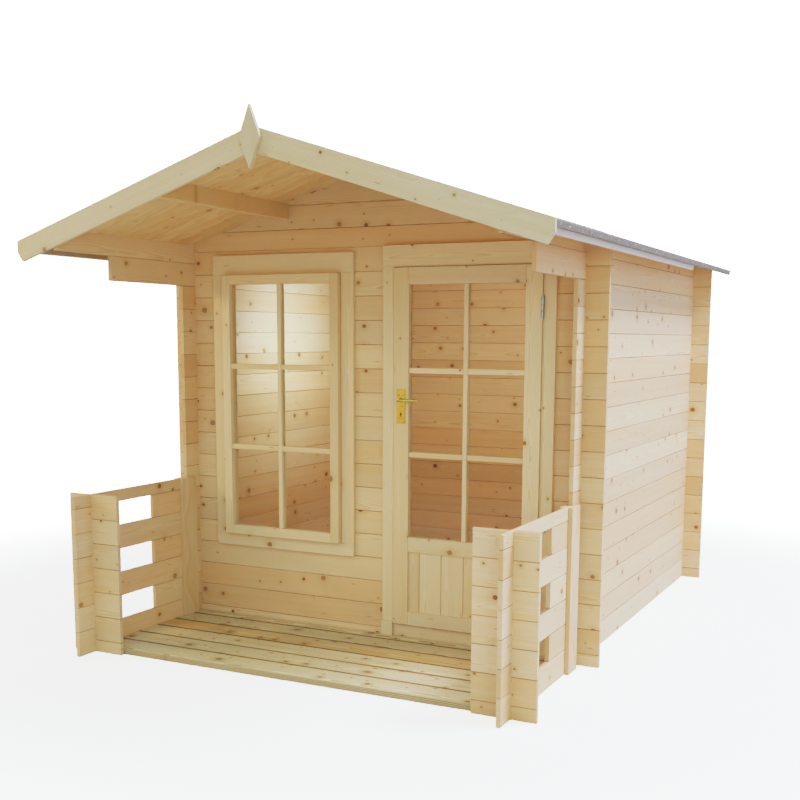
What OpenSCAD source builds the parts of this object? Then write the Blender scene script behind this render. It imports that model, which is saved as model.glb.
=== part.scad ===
// Log cabin with a porch: interlocking horizontal logs, a glazed door and a window in the front
// wall, and a two-slope felt roof that runs on over the porch.
// Millimetres. X to the right, Y from the porch to the rear wall, Z up from the ground.
// The origin is on the ground under the middle of the whole building.

/* [Logs] */
// Thickness of a log
log_t = 19; // [16:1:28]
// Height that one course of logs covers
log_h = 114; // [95:1:140]
// Length that a log runs on past a corner
corner_ext = 105; // [80:1:140]
// Chamfer along the long edges of a log
log_chamfer = 2.4; // [0.5:0.1:3]
// Gap that keeps neighbouring pieces apart
fit = 0.3; // [0.2:0.1:0.6]

/* [Cabin] */
// Width between the outer faces of the side walls
cabin_w = 2085; // [1800:5:2600]
// Depth between the outer faces of the front and rear walls
cabin_d = 2145; // [1700:5:3000]
// Least height of a side wall's whole courses, which the eave log stands on
wall_h = 1824; // [1800:1:2300]
// Height of the eave log at its outer face
eave_log_h = 87; // [60:1:110]
// Height of the lowest gable log
gable_log_h = 92; // [50:1:110]

/* [Roof] */
// Slope of the roof in degrees
roof_pitch = 17.8; // [12:0.1:30]
// Reach of the roof past the front wall
roof_front = 985; // [940:5:1400]
// Reach of the roof past the rear wall
roof_rear = 105; // [40:5:300]
// Reach of the roof boards past a side wall
roof_side = 169; // [120:1:300]
// Thickness of the roof boards
roof_board_t = 16; // [14:1:22]
// Thickness of the roofing felt
felt_t = 3; // [2:0.5:5]
// Height that the felt turns down at a roof edge
felt_turn = 29; // [15:1:35]
// Width of a purlin
purlin_w = 45; // [35:1:70]
// Height of a purlin
purlin_h = 76; // [50:1:120]
// Distance from the ridge to the near face of a side purlin
purlin_x = 460; // [300:5:600]
// Reach of the second log past the front wall
bracket_log = 628; // [300:5:700]

/* [Roof trim] */
// Width of a front barge board
barge_h = 94; // [70:1:140]
// Thickness of a front barge board
barge_t = 16; // [12:1:22]
// Height of the barge board's top edge above the roof boards
barge_rise = 4; // [4:1:20]
// Height of the upright cut at a barge board's tail
tail_upright = 50; // [30:1:70]
// Distance that the tail is cut back below
tail_cut = 28; // [15:1:45]
// Height of an eave board
fascia_h = 53; // [40:1:70]
// Thickness of an eave board
fascia_t = 16; // [12:1:22]
// Length of an eave board
fascia_len = 2260; // [1500:5:3200]
// Width of the diamond at the ridge
finial_w = 97; // [60:1:140]
// Length of the diamond above its widest line
finial_up = 124; // [60:1:160]
// Length of the diamond below its widest line
finial_down = 122; // [60:1:200]
// Thickness of the diamond
finial_t = 18; // [12:1:24]
// Distance from the top of the barge boards down to the diamond's widest line
finial_drop = 46; // [20:1:80]

/* [Porch] */
// Length of a porch rail, front wall to the front ends of its logs
rail_len = 920; // [700:5:935]
// Full log courses in a porch rail, below its half log
rail_courses = 6; // [4:2:8]
// Length of a cross log on the porch side of a rail
wing_in = 149; // [105:1:250]
// Distance from the front wall to the rear end of a rail's openings
slot_start = 375; // [200:5:450]
// Width of the upright boards that tie a rail to the wall
batten_w = 110; // [70:1:120]
// Thickness of the upright boards
batten_t = 19; // [14:1:22]
// Width of a deck board
deck_board_w = 138; // [90:1:145]
// Gap between deck boards
deck_gap = 3; // [2:0.5:8]
// Thickness of a deck board
deck_t = 28; // [20:1:35]

/* [Floor] */
// Thickness of the cabin floor boards
floor_t = 18; // [15:1:28]
// Height and width of a floor bearer
bearer = 45; // [40:1:70]
// Number of floor bearers
bearers = 4; // [3:1:7]

/* [Window] */
// Middle of the window, measured from the middle of the cabin
window_x = -496; // [-520:1:-470]
// Outer width of the window boards
window_w = 808; // [600:1:830]
// Underside of the window's bottom board
window_z = 395; // [250:1:900]
// Top of the window's top board
window_top = 1858; // [1500:1:1870]
// Width of the side boards
window_side_w = 68; // [50:1:90]
// Height of the bottom board
window_sill_h = 62; // [40:1:90]
// Width of the sash members
sash_w = 46; // [40:1:75]
// Thickness of the sash, which stands wholly in front of the wall
sash_t = 45; // [36:1:50]

/* [Door] */
// Middle of the door, measured from the middle of the cabin
door_x = 492; // [460:1:500]
// Width of the door leaf
door_w = 728; // [640:1:760]
// Underside of the door leaf
door_z = 91; // [80:1:140]
// Height of the door leaf
door_h = 1689; // [1500:1:1690]
// Thickness of the door leaf
door_t = 38; // [30:1:45]
// Distance that the leaf's face stands in front of the wall
door_proud = 26; // [19:1:30]
// Width of the leaf's stiles and top rail
stile_w = 78; // [60:1:110]
// Height of the leaf's bottom rail
bottom_rail_h = 66; // [50:1:150]
// Height of the panel of boards above the bottom rail
panel_h = 292; // [150:1:500]
// Height of the middle rail
mid_rail_h = 70; // [50:1:110]
// Clearance around the leaf
door_gap = 6.5; // [5:0.5:9]
// Width of the door's side boards
door_side_w = 55; // [45:1:90]
// Height of the blocks under the side boards, above the underside of the leaf
foot_rise = 9; // [0:1:30]
// Reach of those blocks past the side boards
foot_past = 4; // [1:1:5]
// Thickness of the board under the door
threshold_t = 9; // [6:1:18]
// Width of a board of the door's panel
panel_board_w = 114; // [60:1:140]
// Depth of the grooves between the panel's boards
groove = 3; // [1:0.5:4]

/* [Boards round the openings] */
// Height of the top board over a door or window
top_board_h = 95; // [70:1:120]
// Thickness of the boards round a door or window
casing_t = 18; // [14:1:22]
// Overlap of the door frame on the wall inside
lining_over = 30; // [15:1:60]
// Depth of the frame that lines an opening
lining_d = 60; // [45:1:90]
// Width of the frame that shows behind the edge of a leaf or sash
rebate = 12; // [8:1:16]
// Distance from the face of a sash or leaf back to its glass
glass_in = 24; // [15:1:25]
// Thickness of the glass
glass_t = 4; // [3:1:6]
// Width of an upright glazing bar
bar_w = 22; // [16:1:45]
// Height of a level glazing bar
bar_h = 26; // [18:1:45]
// Distance from the face of a sash or leaf back to its bars
bar_back = 4; // [2:1:8]
// Rows of panes
pane_rows = 3; // [2:1:5]

/* [Hinges and handle] */
// Length of a hinge
hinge_h = 100; // [70:1:130]
// Outer radius of a hinge knuckle
knuckle_r = 6; // [6:0.5:9]
// Radius of a hinge pin
hinge_pin_r = 4; // [3:0.5:5]
// Thickness of a hinge plate
hinge_plate_t = 2; // [1.5:0.5:2]
// Distance from the leaf's top or bottom to the middle of a hinge
hinge_inset = 188; // [120:1:300]
// Height of the handle above the ground
handle_z = 1170; // [950:1:1250]
// Length of the lever, spindle to tip
lever_len = 100; // [80:1:130]
// Radius of the lever's bar
lever_r = 6; // [5:0.5:9]
// Radius of the turning knob inside
knob_r = 14; // [11:1:18]
// Distance from the plate to the end of that knob
knob_reach = 32; // [28:1:40]
// Radius of the spindle
spindle_r = 4; // [3:0.5:5]
// Distance from the plate to the middle of the lever's bar
lever_reach = 42; // [35:1:60]
// Width of the handle's plate
plate_w = 42; // [32:1:50]
// Height of the handle's plate
plate_h = 160; // [120:1:240]
// Thickness of the handle's plate
plate_t = 3; // [2:0.5:5]
// Distance from the top of the plate down to the spindle
plate_top = 50; // [35:1:60]
// Radial clearance of a pin in its hole
pin_clear = 0.06; // [0.03:0.01:0.1]

/* [Hidden] */
$fn = 48;

half_log = log_h / 2;
// The cabin's middle lies behind the middle of the whole building, whose front is the diamond.
rear_reach = max(roof_rear + felt_t, corner_ext);
front_y = (roof_front + finial_t - cabin_d - rear_reach) / 2;
rear_y = front_y + cabin_d;
side_x = cabin_w / 2;
inner_x = side_x - log_t;

side_courses = ceil((wall_h - 1) / log_h);

// Roof planes, as heights above the ground at a distance x from the ridge
slope = tan(roof_pitch);
side_top = side_courses * log_h;
roof_under_ridge = side_top + eave_log_h + side_x * slope;
function roof_under(x) = roof_under_ridge - abs(x) * slope;
board_rise = roof_board_t / cos(roof_pitch);
felt_rise = felt_t / cos(roof_pitch);
eave_x = side_x + roof_side;
roof_y0 = front_y - roof_front + barge_t;
roof_y1 = rear_y + roof_rear;
felt_out = (eave_x / cos(roof_pitch) + fascia_t + 2 * fit + felt_t) * cos(roof_pitch)
    + (roof_board_t + fit + felt_t) * sin(roof_pitch);

// Front wall: its courses sit half a course lower than those of the side walls
front_courses = side_courses;
front_top = front_courses * log_h + half_log;
wall_back = front_y + log_t;

// Window and door openings. A cut that would leave a sliver of log over it runs on up to the joint.
sash_gap = 2;
window_l = window_x - window_w / 2;
window_r = window_x + window_w / 2;
sash_l = window_l + window_side_w;
sash_r = window_r - window_side_w;
sash_z = window_z + window_sill_h;
sash_top = window_top - top_board_h;
sash_face = front_y - sash_t;
window_stop = sash_face + sash_t + fit;
door_l = door_x - door_w / 2;
door_r = door_x + door_w / 2;
door_top = door_z + door_h;
door_face = front_y - door_proud;
door_stop = max(door_face + door_t + door_gap, wall_back + fit);
glass_y = door_face + glass_in;
cut_l = door_l - door_gap;
cut_r = door_r + door_gap;

function joint_over(z) = ceil((z - half_log) / log_h) * log_h + half_log;
function joint_under(z) = floor((z - half_log) / log_h) * log_h + half_log;
function clean_top(z) = joint_over(z) - z < 14 ? joint_over(z) : z;
function clean_bottom(z) = z - joint_under(z) < 14 ? joint_under(z) : z;

// Porch rails
rail_front = front_y - rail_len;
cross_y = rail_front + corner_ext;
rail_top = rail_courses * log_h + half_log;
deck_y0 = cross_y + log_t + 3;

// Hinge line and handle
hinge_x = door_r + door_gap / 2;
hinge_y = door_face - knuckle_r - 0.5;
handle_x = door_l + stile_w / 2 + 1;

pine = "#dcb877";
shade_pine = "#c08a4c";
treated = "#b9b27a";
felt_grey = "#8d8880";
brass = "#c9a13c";
steel = "#b8bcc0";

// ---- Building blocks ----

// A box from its lowest to its highest corner
module block(a, b) {
    translate(a) cube(b - a);
}

// A prism whose outline is in X and Z, running from y0 to y1
module prism_y(outline, y0, y1) {
    translate([0, y1, 0]) rotate([90, 0, 0]) linear_extrude(y1 - y0) polygon(outline);
}

// A prism whose outline is in Y and Z, running from x0 to x1
module prism_x(outline, x0, x1) {
    translate([x0, 0, 0]) rotate([90, 0, 90]) linear_extrude(x1 - x0) polygon(outline);
}

// The outline of a log, from side a to side b and from height z0 to z1
function log_outline(a, b, z0, z1) = let (c = log_chamfer) [
    [a + c, z0], [b - c, z0], [b, z0 + c], [b, z1 - c],
    [b - c, z1], [a + c, z1], [a, z1 - c], [a, z0 + c]
];

// A log along X. Its front face is at y, and side logs cross it at the positions in crossings.
module log_x(x0, x1, y, z0, z1, crossings = [], notch_top = true) {
    difference() {
        prism_x(log_outline(y, y + log_t, z0, z1 - fit), x0, x1);
        for (c = crossings) {
            notch(c - log_t / 2 - fit, c + log_t / 2 + fit, y - 1, y + log_t + 1, z0, z1, notch_top);
        }
    }
}

// A log along Y. Its left face is at x, and front and rear logs cross it at the positions in crossings.
module log_y(y0, y1, x, z0, z1, crossings = [], notch_top = true) {
    difference() {
        prism_y(log_outline(x, x + log_t, z0, z1 - fit), y0, y1);
        for (c = crossings) {
            notch(x - 1, x + log_t + 1, c - log_t / 2 - fit, c + log_t / 2 + fit, z0, z1, notch_top);
        }
    }
}

// The pair of cuts where two logs cross, a quarter of a course each; a half log on the ground has no lower one
module notch(x0, x1, y0, y1, z0, z1, notch_top) {
    if (z0 > 0 || z1 - z0 > half_log + 1) block([x0, y0, z0 - 1], [x1, y1, z0 + log_h / 4]);
    if (notch_top) block([x0, y0, z1 - log_h / 4], [x1, y1, z1 + 1]);
}

// Everything below the underside of the roof boards
module under_roof(y0, y1, gap = fit) {
    prism_y([
        [-eave_x, 0], [eave_x, 0],
        [eave_x, roof_under(eave_x) - gap], [0, roof_under_ridge - gap], [-eave_x, roof_under(eave_x) - gap]
    ], y0, y1);
}

// A piece and its mirror image on the other side of the ridge
module both_sides() {
    children();
    mirror([1, 0, 0]) children();
}

// ---- Walls ----

front_cross = front_y + log_t / 2;
rear_cross = rear_y - log_t / 2;
side_cross = side_x - log_t / 2;
wall_end = side_x + corner_ext;

// Top and bottom of course n of a front or rear wall, where course 0 is the half log
function course_z0(n) = n == 0 ? 0 : n * log_h - half_log;
function course_z1(n) = n * log_h + half_log;

window_cut_z0 = clean_bottom(sash_z);
window_cut_z1 = clean_top(sash_top);
door_cut_z0 = half_log;
door_cut_z1 = clean_top(door_top + door_gap);

// True for a course that a cut from z0 to z1 takes right through
function cut_through(n, z0, z1) = course_z0(n) > z0 - 1 && course_z1(n) < z1 + 1;
function by_window(n) = cut_through(n, window_cut_z0, window_cut_z1);
function by_door(n) = cut_through(n, door_cut_z0, door_cut_z1);

// The part of front-wall course n that lies between x0 and x1
module front_log(n, x0, x1) {
    crossings = [if (x0 < -side_x) -side_cross, if (x1 > side_x) side_cross];
    difference() {
        log_x(x0, x1, front_y, course_z0(n), course_z1(n), crossings);
        block([sash_l, front_y - 1, window_cut_z0], [sash_r, wall_back + 1, window_cut_z1]);
        block([cut_l, front_y - 1, door_cut_z0], [cut_r, wall_back + 1, door_cut_z1]);
    }
}

window_courses = [for (n = [1 : front_courses]) if (by_window(n)) n];
first_window = window_courses[0];
last_window = window_courses[len(window_courses) - 1];

// The half log under everything, and the logs that run on below the window
module front_wall_lower() {
    color(pine) {
        front_log(0, -wall_end, wall_end);
        for (n = [1 : first_window - 1]) front_log(n, -wall_end, by_door(n) ? cut_l - fit : wall_end);
    }
}

// Logs from the left corner to the window
module front_wall_left() {
    color(pine) for (n = window_courses) front_log(n, -wall_end, sash_l - fit);
}

// Logs between the window and the door
module front_wall_middle() {
    color(pine) for (n = window_courses) front_log(n, sash_r + fit, by_door(n) ? cut_l - fit : wall_end);
}

// Logs from the door to the right corner
module front_wall_right() {
    color(pine) for (n = [1 : front_courses]) if (by_door(n)) front_log(n, cut_r + fit, wall_end);
}

// Logs over the door and the window
module front_wall_head() {
    color(shade_pine) intersection() {
        union() for (n = [last_window + 1 : front_courses]) {
            front_log(n, -wall_end, by_door(n) ? cut_l - fit : wall_end);
        }
        under_roof(front_y - 1, wall_back + 1);
    }
}

// Plain logs right across the rear
module rear_wall() {
    color(pine) intersection() {
        union() for (n = [0 : front_courses]) {
            log_x(-wall_end, wall_end, rear_y - log_t, course_z0(n), course_z1(n), [-side_cross, side_cross]);
        }
        under_roof(rear_y - log_t - 1, rear_y + 1);
    }
}

// Logs that close the triangle under the roof, notched for the purlins
module gable(y) {
    rows = ceil((roof_under_ridge - front_top - gable_log_h) / log_h);
    difference() {
        intersection() {
            union() {
                log_x(-inner_x + fit, inner_x - fit, y, front_top, front_top + gable_log_h);
                for (n = [0 : rows - 1]) {
                    z = front_top + gable_log_h + n * log_h;
                    log_x(-inner_x + fit, inner_x - fit, y, z, z + log_h);
                }
            }
            under_roof(y - 1, y + log_t + 1);
        }
        purlin_holes(y);
    }
}

module purlin_holes(y) {
    block([-purlin_w / 2 - fit, y - 1, roof_under_ridge - purlin_h - fit],
          [purlin_w / 2 + fit, y + log_t + 1, roof_under_ridge + 1]);
    both_sides() block([purlin_x - fit, y - 1, roof_under(purlin_x) - purlin_h - fit],
                       [purlin_x + purlin_w + fit, y + log_t + 1, roof_under_ridge + 1]);
}

module front_gable() {
    color(shade_pine) gable(front_y);
}

module rear_gable() {
    color(pine) gable(rear_y - log_t);
}

// Side wall whose left face is at x, in full courses below the two eave logs
module side_wall(x) {
    color(pine) for (k = [0 : side_courses - 2]) {
        log_y(front_y - corner_ext, rear_y + corner_ext, x, k * log_h, (k + 1) * log_h,
              [front_cross, rear_cross]);
    }
}

module left_wall() {
    side_wall(-side_x);
}

module right_wall() {
    side_wall(inner_x);
}

// The two top side logs, which run on under the porch roof
module eave_logs(x) {
    z = (side_courses - 1) * log_h;
    color(shade_pine) {
        log_y(front_y - bracket_log, rear_y + min(corner_ext, roof_rear - 5), x, z, z + log_h,
              [front_cross, rear_cross]);
        intersection() {
            log_y(roof_y0 + fit, rear_y + min(corner_ext, roof_rear - 5), x, z + log_h, z + 2 * log_h,
                  [front_cross, rear_cross], false);
            under_roof(roof_y0 - 1, roof_y1 + 1);
        }
    }
}

module left_eave_logs() {
    eave_logs(-side_x);
}

module right_eave_logs() {
    eave_logs(inner_x);
}

// ---- Roof ----

module ridge_purlin() {
    color(shade_pine) intersection() {
        block([-purlin_w / 2, roof_y0 + fit, roof_under_ridge - purlin_h],
              [purlin_w / 2, roof_y1 - fit, roof_under_ridge]);
        under_roof(roof_y0, roof_y1);
    }
}

module side_purlins() {
    color(shade_pine) both_sides() intersection() {
        block([purlin_x, roof_y0 + fit, roof_under(purlin_x) - purlin_h],
              [purlin_x + purlin_w, roof_y1 - fit, roof_under_ridge]);
        under_roof(roof_y0, roof_y1);
    }
}

// Roof boards of the right slope, cut square to the slope at the eave
module roof_boards() {
    color(shade_pine) difference() {
        translate([0, roof_y0, roof_under_ridge]) rotate([0, roof_pitch, 0])
            cube([eave_x / cos(roof_pitch), roof_y1 - roof_y0, roof_board_t]);
        block([-roof_board_t, roof_y0 - 1, roof_under_ridge - roof_board_t],
              [fit / 2, roof_y1 + 1, roof_under_ridge + 2 * roof_board_t]);
    }
}

module right_roof_boards() {
    roof_boards();
}

module left_roof_boards() {
    mirror([1, 0, 0]) roof_boards();
}

// Felt of the right slope, turned down over the eave and the rear edge
module roof_felt() {
    out_x = eave_x / cos(roof_pitch) + fascia_t + 2 * fit;
    top = roof_board_t + fit + felt_t;
    color(felt_grey) difference() {
        translate([0, 0, roof_under_ridge]) rotate([0, roof_pitch, 0]) {
            block([-10, roof_y0, top - felt_t], [out_x + felt_t, roof_y1 + felt_t, top]);
            block([out_x, roof_y0, top - felt_turn], [out_x + felt_t, roof_y1 + felt_t, top]);
            block([0, roof_y1 + fit, top - felt_turn], [out_x + felt_t, roof_y1 + felt_t, top]);
        }
        block([-roof_board_t, roof_y0 - 1, roof_under_ridge - 2 * roof_board_t],
              [fit / 2, roof_y1 + felt_t + 1, roof_under_ridge + 2 * roof_board_t]);
    }
}

module right_roof_felt() {
    roof_felt();
}

module left_roof_felt() {
    mirror([1, 0, 0]) roof_felt();
}

// The two front barge boards: each tail is cut upright, then back under
module barge_boards() {
    top = roof_under_ridge + board_rise + barge_rise;
    drop = barge_h / cos(roof_pitch);
    tail_x = felt_out + 1;
    tail_top = top - tail_x * slope;
    color("#d8cfb8") both_sides() prism_y([
        [fit / 2, top - fit / 2 * slope], [tail_x, tail_top], [tail_x, tail_top - tail_upright],
        [tail_x - tail_cut, top - (tail_x - tail_cut) * slope - drop], [fit / 2, top - fit / 2 * slope - drop]
    ], front_y - roof_front, roof_y0 - fit);
}

// Narrow boards nailed to the ends of the roof boards
module eave_boards() {
    color("#e6e0d0") both_sides() translate([0, 0, roof_under_ridge]) rotate([0, roof_pitch, 0])
        block([eave_x / cos(roof_pitch) + fit, roof_y0 + fit, roof_board_t - fascia_h],
              [eave_x / cos(roof_pitch) + fit + fascia_t, roof_y0 + fascia_len, roof_board_t]);
}

// The diamond that covers the joint of the barge boards
module ridge_diamond() {
    mid_z = roof_under_ridge + board_rise + barge_rise - finial_drop;
    color("#d8cfb8") prism_y([
        [0, mid_z + finial_up], [-finial_w / 2, mid_z], [0, mid_z - finial_down], [finial_w / 2, mid_z]
    ], front_y - roof_front - finial_t, front_y - roof_front - fit);
}

// ---- Floor and porch ----

module floor_boards() {
    color(pine) block([-inner_x + fit, wall_back + fit, bearer + fit],
                      [inner_x - fit, rear_y - log_t - fit, bearer + floor_t]);
}

module floor_bearers() {
    y0 = wall_back + 60;
    step = (rear_y - log_t - 60 - bearer - y0) / (bearers - 1);
    color(treated) for (n = [0 : bearers - 1]) {
        block([-inner_x + fit, y0 + n * step, 0], [inner_x - fit, y0 + n * step + bearer, bearer]);
    }
}

// Deck boards between the rails, laid from the front; the last is ripped to fit
module porch_deck() {
    pitch = deck_board_w + deck_gap;
    room = front_y - fit - deck_y0;
    color(treated) for (n = [0 : floor(room / pitch)]) {
        y = deck_y0 + n * pitch;
        w = min(deck_board_w, deck_y0 + room - y);
        if (w > 20) block([-inner_x + fit, y, 0], [inner_x - fit, y + w, deck_t]);
    }
}

// Logs of a rail along Y, whose left face is at x. Every other course is open in the middle.
module rail_logs(x) {
    back = front_y - corner_ext - fit;
    cross_mid = cross_y + log_t / 2;
    color(pine) for (k = [0 : rail_courses]) {
        z0 = k * log_h;
        z1 = min(rail_top, z0 + log_h);
        is_open = k % 2 == 1;
        log_y(rail_front, is_open ? cross_y + log_t + corner_ext : back, x, z0, z1, [cross_mid], k < rail_courses);
        if (is_open) log_y(front_y - slot_start, back, x, z0, z1);
    }
}

// Short logs that cross a rail near its front; out and in are their ends on each side of the rail
module rail_cross_logs(x0, x1, rail_mid) {
    color(pine) for (n = [0 : rail_courses]) {
        log_x(x0, x1, cross_y, course_z0(n), course_z1(n), [rail_mid], true);
    }
}

module left_rail_logs() {
    rail_logs(-side_x);
}

module right_rail_logs() {
    rail_logs(inner_x);
}

module left_rail_cross_logs() {
    rail_cross_logs(-wall_end, -inner_x + wing_in, -side_cross);
}

module right_rail_cross_logs() {
    rail_cross_logs(inner_x - wing_in, wall_end, side_cross);
}

// Upright boards on both faces where a rail meets the wall's log ends
module rail_battens() {
    y0 = front_y - corner_ext - batten_w * 0.53;
    color(pine) both_sides() {
        block([side_x + fit, y0, 0], [side_x + batten_t, y0 + batten_w, rail_top - fit]);
        block([inner_x - batten_t, y0, deck_t + fit], [inner_x - fit, y0 + batten_w, rail_top - fit]);
    }
}

// ---- Window ----

// Four members round an opening, from its outer corners and the member widths.
// The uprights run full height when tall is true, and the level members run full width when it is not.
module members(x0, x1, y0, y1, z0, z1, side, top, bottom, tall = true) {
    a = tall ? 0 : 1;
    b = 1 - a;
    block([x0, y0, z0 + a * (bottom + fit)], [x0 + side, y1, z1 - a * (top + fit)]);
    block([x1 - side, y0, z0 + a * (bottom + fit)], [x1, y1, z1 - a * (top + fit)]);
    block([x0 + b * (side + fit), y0, z1 - top], [x1 - b * (side + fit), y1, z1]);
    block([x0 + b * (side + fit), y0, z0], [x1 - b * (side + fit), y1, z0 + bottom]);
}

// The frame that lines the window's cut; the sash stands against it
module window_frame() {
    width = rebate + sash_gap;
    color(pine) members(sash_l + fit, sash_r - fit, window_stop, window_stop + lining_d,
                        window_cut_z0 + fit, window_cut_z1 - fit, width, width + window_cut_z1 - sash_top,
                        width + sash_z - window_cut_z0);
}

// Boards on the wall round the sash
module window_boards() {
    color(pine) members(window_l, window_r, front_y - casing_t, front_y - fit, window_z, window_top,
                        window_side_w, top_board_h, window_sill_h, false);
}

// The sash stands between the boards, proud of them
module window_sash() {
    color(pine) members(sash_l + sash_gap, sash_r - sash_gap, sash_face, sash_face + sash_t, sash_z + sash_gap,
                        sash_top - sash_gap, sash_w, sash_w, sash_w);
}

// Bars in front of and behind a pane that fills x0 to x1 and z0 to z1, in a member from face to back.
// The upright bar runs through, and the level ones meet it.
module bars(x0, x1, z0, z1, face, back, glass) {
    mid = (x0 + x1) / 2;
    for (y = [[face + bar_back, glass - fit], [glass + glass_t + fit, back - bar_back]]) {
        block([mid - bar_w / 2, y[0], z0], [mid + bar_w / 2, y[1], z1]);
        for (n = [1 : pane_rows - 1], x = [[x0, mid - bar_w / 2 - fit], [mid + bar_w / 2 + fit, x1]]) {
            z = z0 + (z1 - z0) * n / pane_rows;
            block([x[0], y[0], z - bar_h / 2], [x[1], y[1], z + bar_h / 2]);
        }
    }
}

module window_bars() {
    in = sash_gap + sash_w + fit;
    color(pine) bars(sash_l + in, sash_r - in, sash_z + in, sash_top - in, sash_face, sash_face + sash_t,
                     sash_face + glass_in);
}

module window_glass() {
    y = sash_face + glass_in;
    color("#a8c4cc", 0.4) block([sash_l + sash_gap + sash_w + fit, y, sash_z + sash_gap + sash_w + fit],
                                [sash_r - sash_gap - sash_w - fit, y + glass_t, sash_top - sash_gap - sash_w - fit]);
}

// ---- Door ----

// The frame round the doorway inside, on the floor and against the wall; the leaf closes in front of it
module door_frame() {
    over = lining_over;
    z0 = bearer + floor_t + fit;
    color(pine) members(cut_l - over, cut_r + over, door_stop, door_stop + lining_d, z0, door_top + door_gap + over,
                        over + door_gap + rebate, over + door_gap + rebate, door_z + rebate - z0);
}

// Boards on the wall beside and over the leaf; each side board stands on a thicker block
module door_boards() {
    y0 = front_y - casing_t;
    z0 = door_z + foot_rise;
    z1 = door_top + door_gap;
    color(pine) {
        for (x = [cut_l - door_side_w, cut_r]) {
            block([x, y0, z0 + fit], [x + door_side_w, front_y - fit, z1 - fit]);
            block([x < door_x ? x - foot_past : x, y0 - foot_past, deck_t + fit],
                  [x < door_x ? cut_l : x + door_side_w + foot_past, front_y - fit, z0]);
        }
        block([cut_l - door_side_w, y0, z1], [cut_r + door_side_w, front_y - fit, z1 + top_board_h]);
    }
}

// The board under the door, and the strip that fills the cut behind it
module door_threshold() {
    top = door_z - door_gap;
    color(pine) {
        block([cut_l + fit, front_y - threshold_t, deck_t + fit], [cut_r - fit, front_y - fit, top]);
        block([cut_l + fit, front_y, door_cut_z0 + fit], [cut_r - fit, door_stop - fit, top]);
    }
}

mid_rail_z = door_z + bottom_rail_h + panel_h;

// Stiles and rails of the leaf; the left stile is bored for the spindle
module door_leaf() {
    y1 = door_face + door_t;
    x0 = door_l + stile_w + fit;
    x1 = door_r - stile_w - fit;
    color(pine) {
        difference() {
            block([door_l, door_face, door_z], [door_l + stile_w, y1, door_top]);
            spindle_bore(door_face - 1, y1 + 1);
        }
        block([door_r - stile_w, door_face, door_z], [door_r, y1, door_top]);
        block([x0, door_face, door_top - stile_w], [x1, y1, door_top]);
        block([x0, door_face, mid_rail_z], [x1, y1, mid_rail_z + mid_rail_h]);
        block([x0, door_face, door_z], [x1, y1, door_z + bottom_rail_h]);
    }
}

module spindle_bore(y0, y1) {
    translate([handle_x, y0, handle_z]) rotate([-90, 0, 0]) cylinder(h = y1 - y0, r = spindle_r + pin_clear);
}

// The panel of upright boards in the leaf's lower part
module door_panel() {
    y0 = door_face + 8;
    y1 = door_face + 28;
    z0 = door_z + bottom_rail_h + fit;
    z1 = mid_rail_z - fit;
    count = floor((door_w - 2 * stile_w) / 2 / panel_board_w - 0.1);
    color(pine) difference() {
        block([door_l + stile_w + fit, y0, z0], [door_r - stile_w - fit, y1, z1]);
        for (n = [-count : count], y = [y0, y1]) translate([door_x + n * panel_board_w, y, z0 - 1])
            linear_extrude(z1 - z0 + 2) polygon([[-groove, 0], [0, groove], [groove, 0], [0, -groove]]);
    }
}

module door_bars() {
    in = stile_w + fit;
    color(pine) bars(door_l + in, door_r - in, mid_rail_z + mid_rail_h + fit, door_top - in, door_face,
                     door_face + door_t, glass_y);
}

module door_glass() {
    color("#a8c4cc", 0.4) block([door_l + stile_w + fit, glass_y, mid_rail_z + mid_rail_h + fit],
                                [door_r - stile_w - fit, glass_y + glass_t, door_top - stile_w - fit]);
}

// ---- Hinges and handle ----

hinge_zs = [door_z + hinge_inset, door_top - hinge_inset];

// Lower knuckle, pin and plate of each hinge, on the frame side
module hinge_pins() {
    color(steel) for (z = hinge_zs) {
        translate([hinge_x, hinge_y, z - hinge_h / 2]) cylinder(h = hinge_h / 2, r = knuckle_r);
        translate([hinge_x, hinge_y, z - 1]) cylinder(h = hinge_h / 2 - 3, r = hinge_pin_r);
        block([cut_r - fit - hinge_plate_t, hinge_y, z - hinge_h / 2], [cut_r - fit, front_y - 2, z]);
    }
}

// Upper knuckle and plate of each hinge, on the leaf
module hinge_knuckles() {
    color(steel) for (z = hinge_zs) difference() {
        union() {
            translate([hinge_x, hinge_y, z + fit]) cylinder(h = hinge_h / 2 - fit, r = knuckle_r);
            block([door_r + fit, hinge_y, z + fit],
                  [door_r + fit + hinge_plate_t, door_face + door_t - 8, z + hinge_h / 2]);
        }
        translate([hinge_x, hinge_y, z - 1]) cylinder(h = hinge_h / 2, r = hinge_pin_r + pin_clear);
    }
}

// A plate on each face of the leaf, with the spindle's hole and a keyhole
module lock_plates() {
    key_z = handle_z - 65;
    color(brass) for (y = [door_face - fit - plate_t, door_face + door_t + fit]) difference() {
        block([handle_x - plate_w / 2, y, handle_z + plate_top - plate_h],
              [handle_x + plate_w / 2, y + plate_t, handle_z + plate_top]);
        spindle_bore(y - 1, y + plate_t + 1);
        translate([handle_x, y - 1, key_z]) rotate([-90, 0, 0]) cylinder(h = plate_t + 2, r = 4);
        block([handle_x - 2, y - 1, key_z - 14], [handle_x + 2, y + plate_t + 1, key_z]);
    }
}

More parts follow.
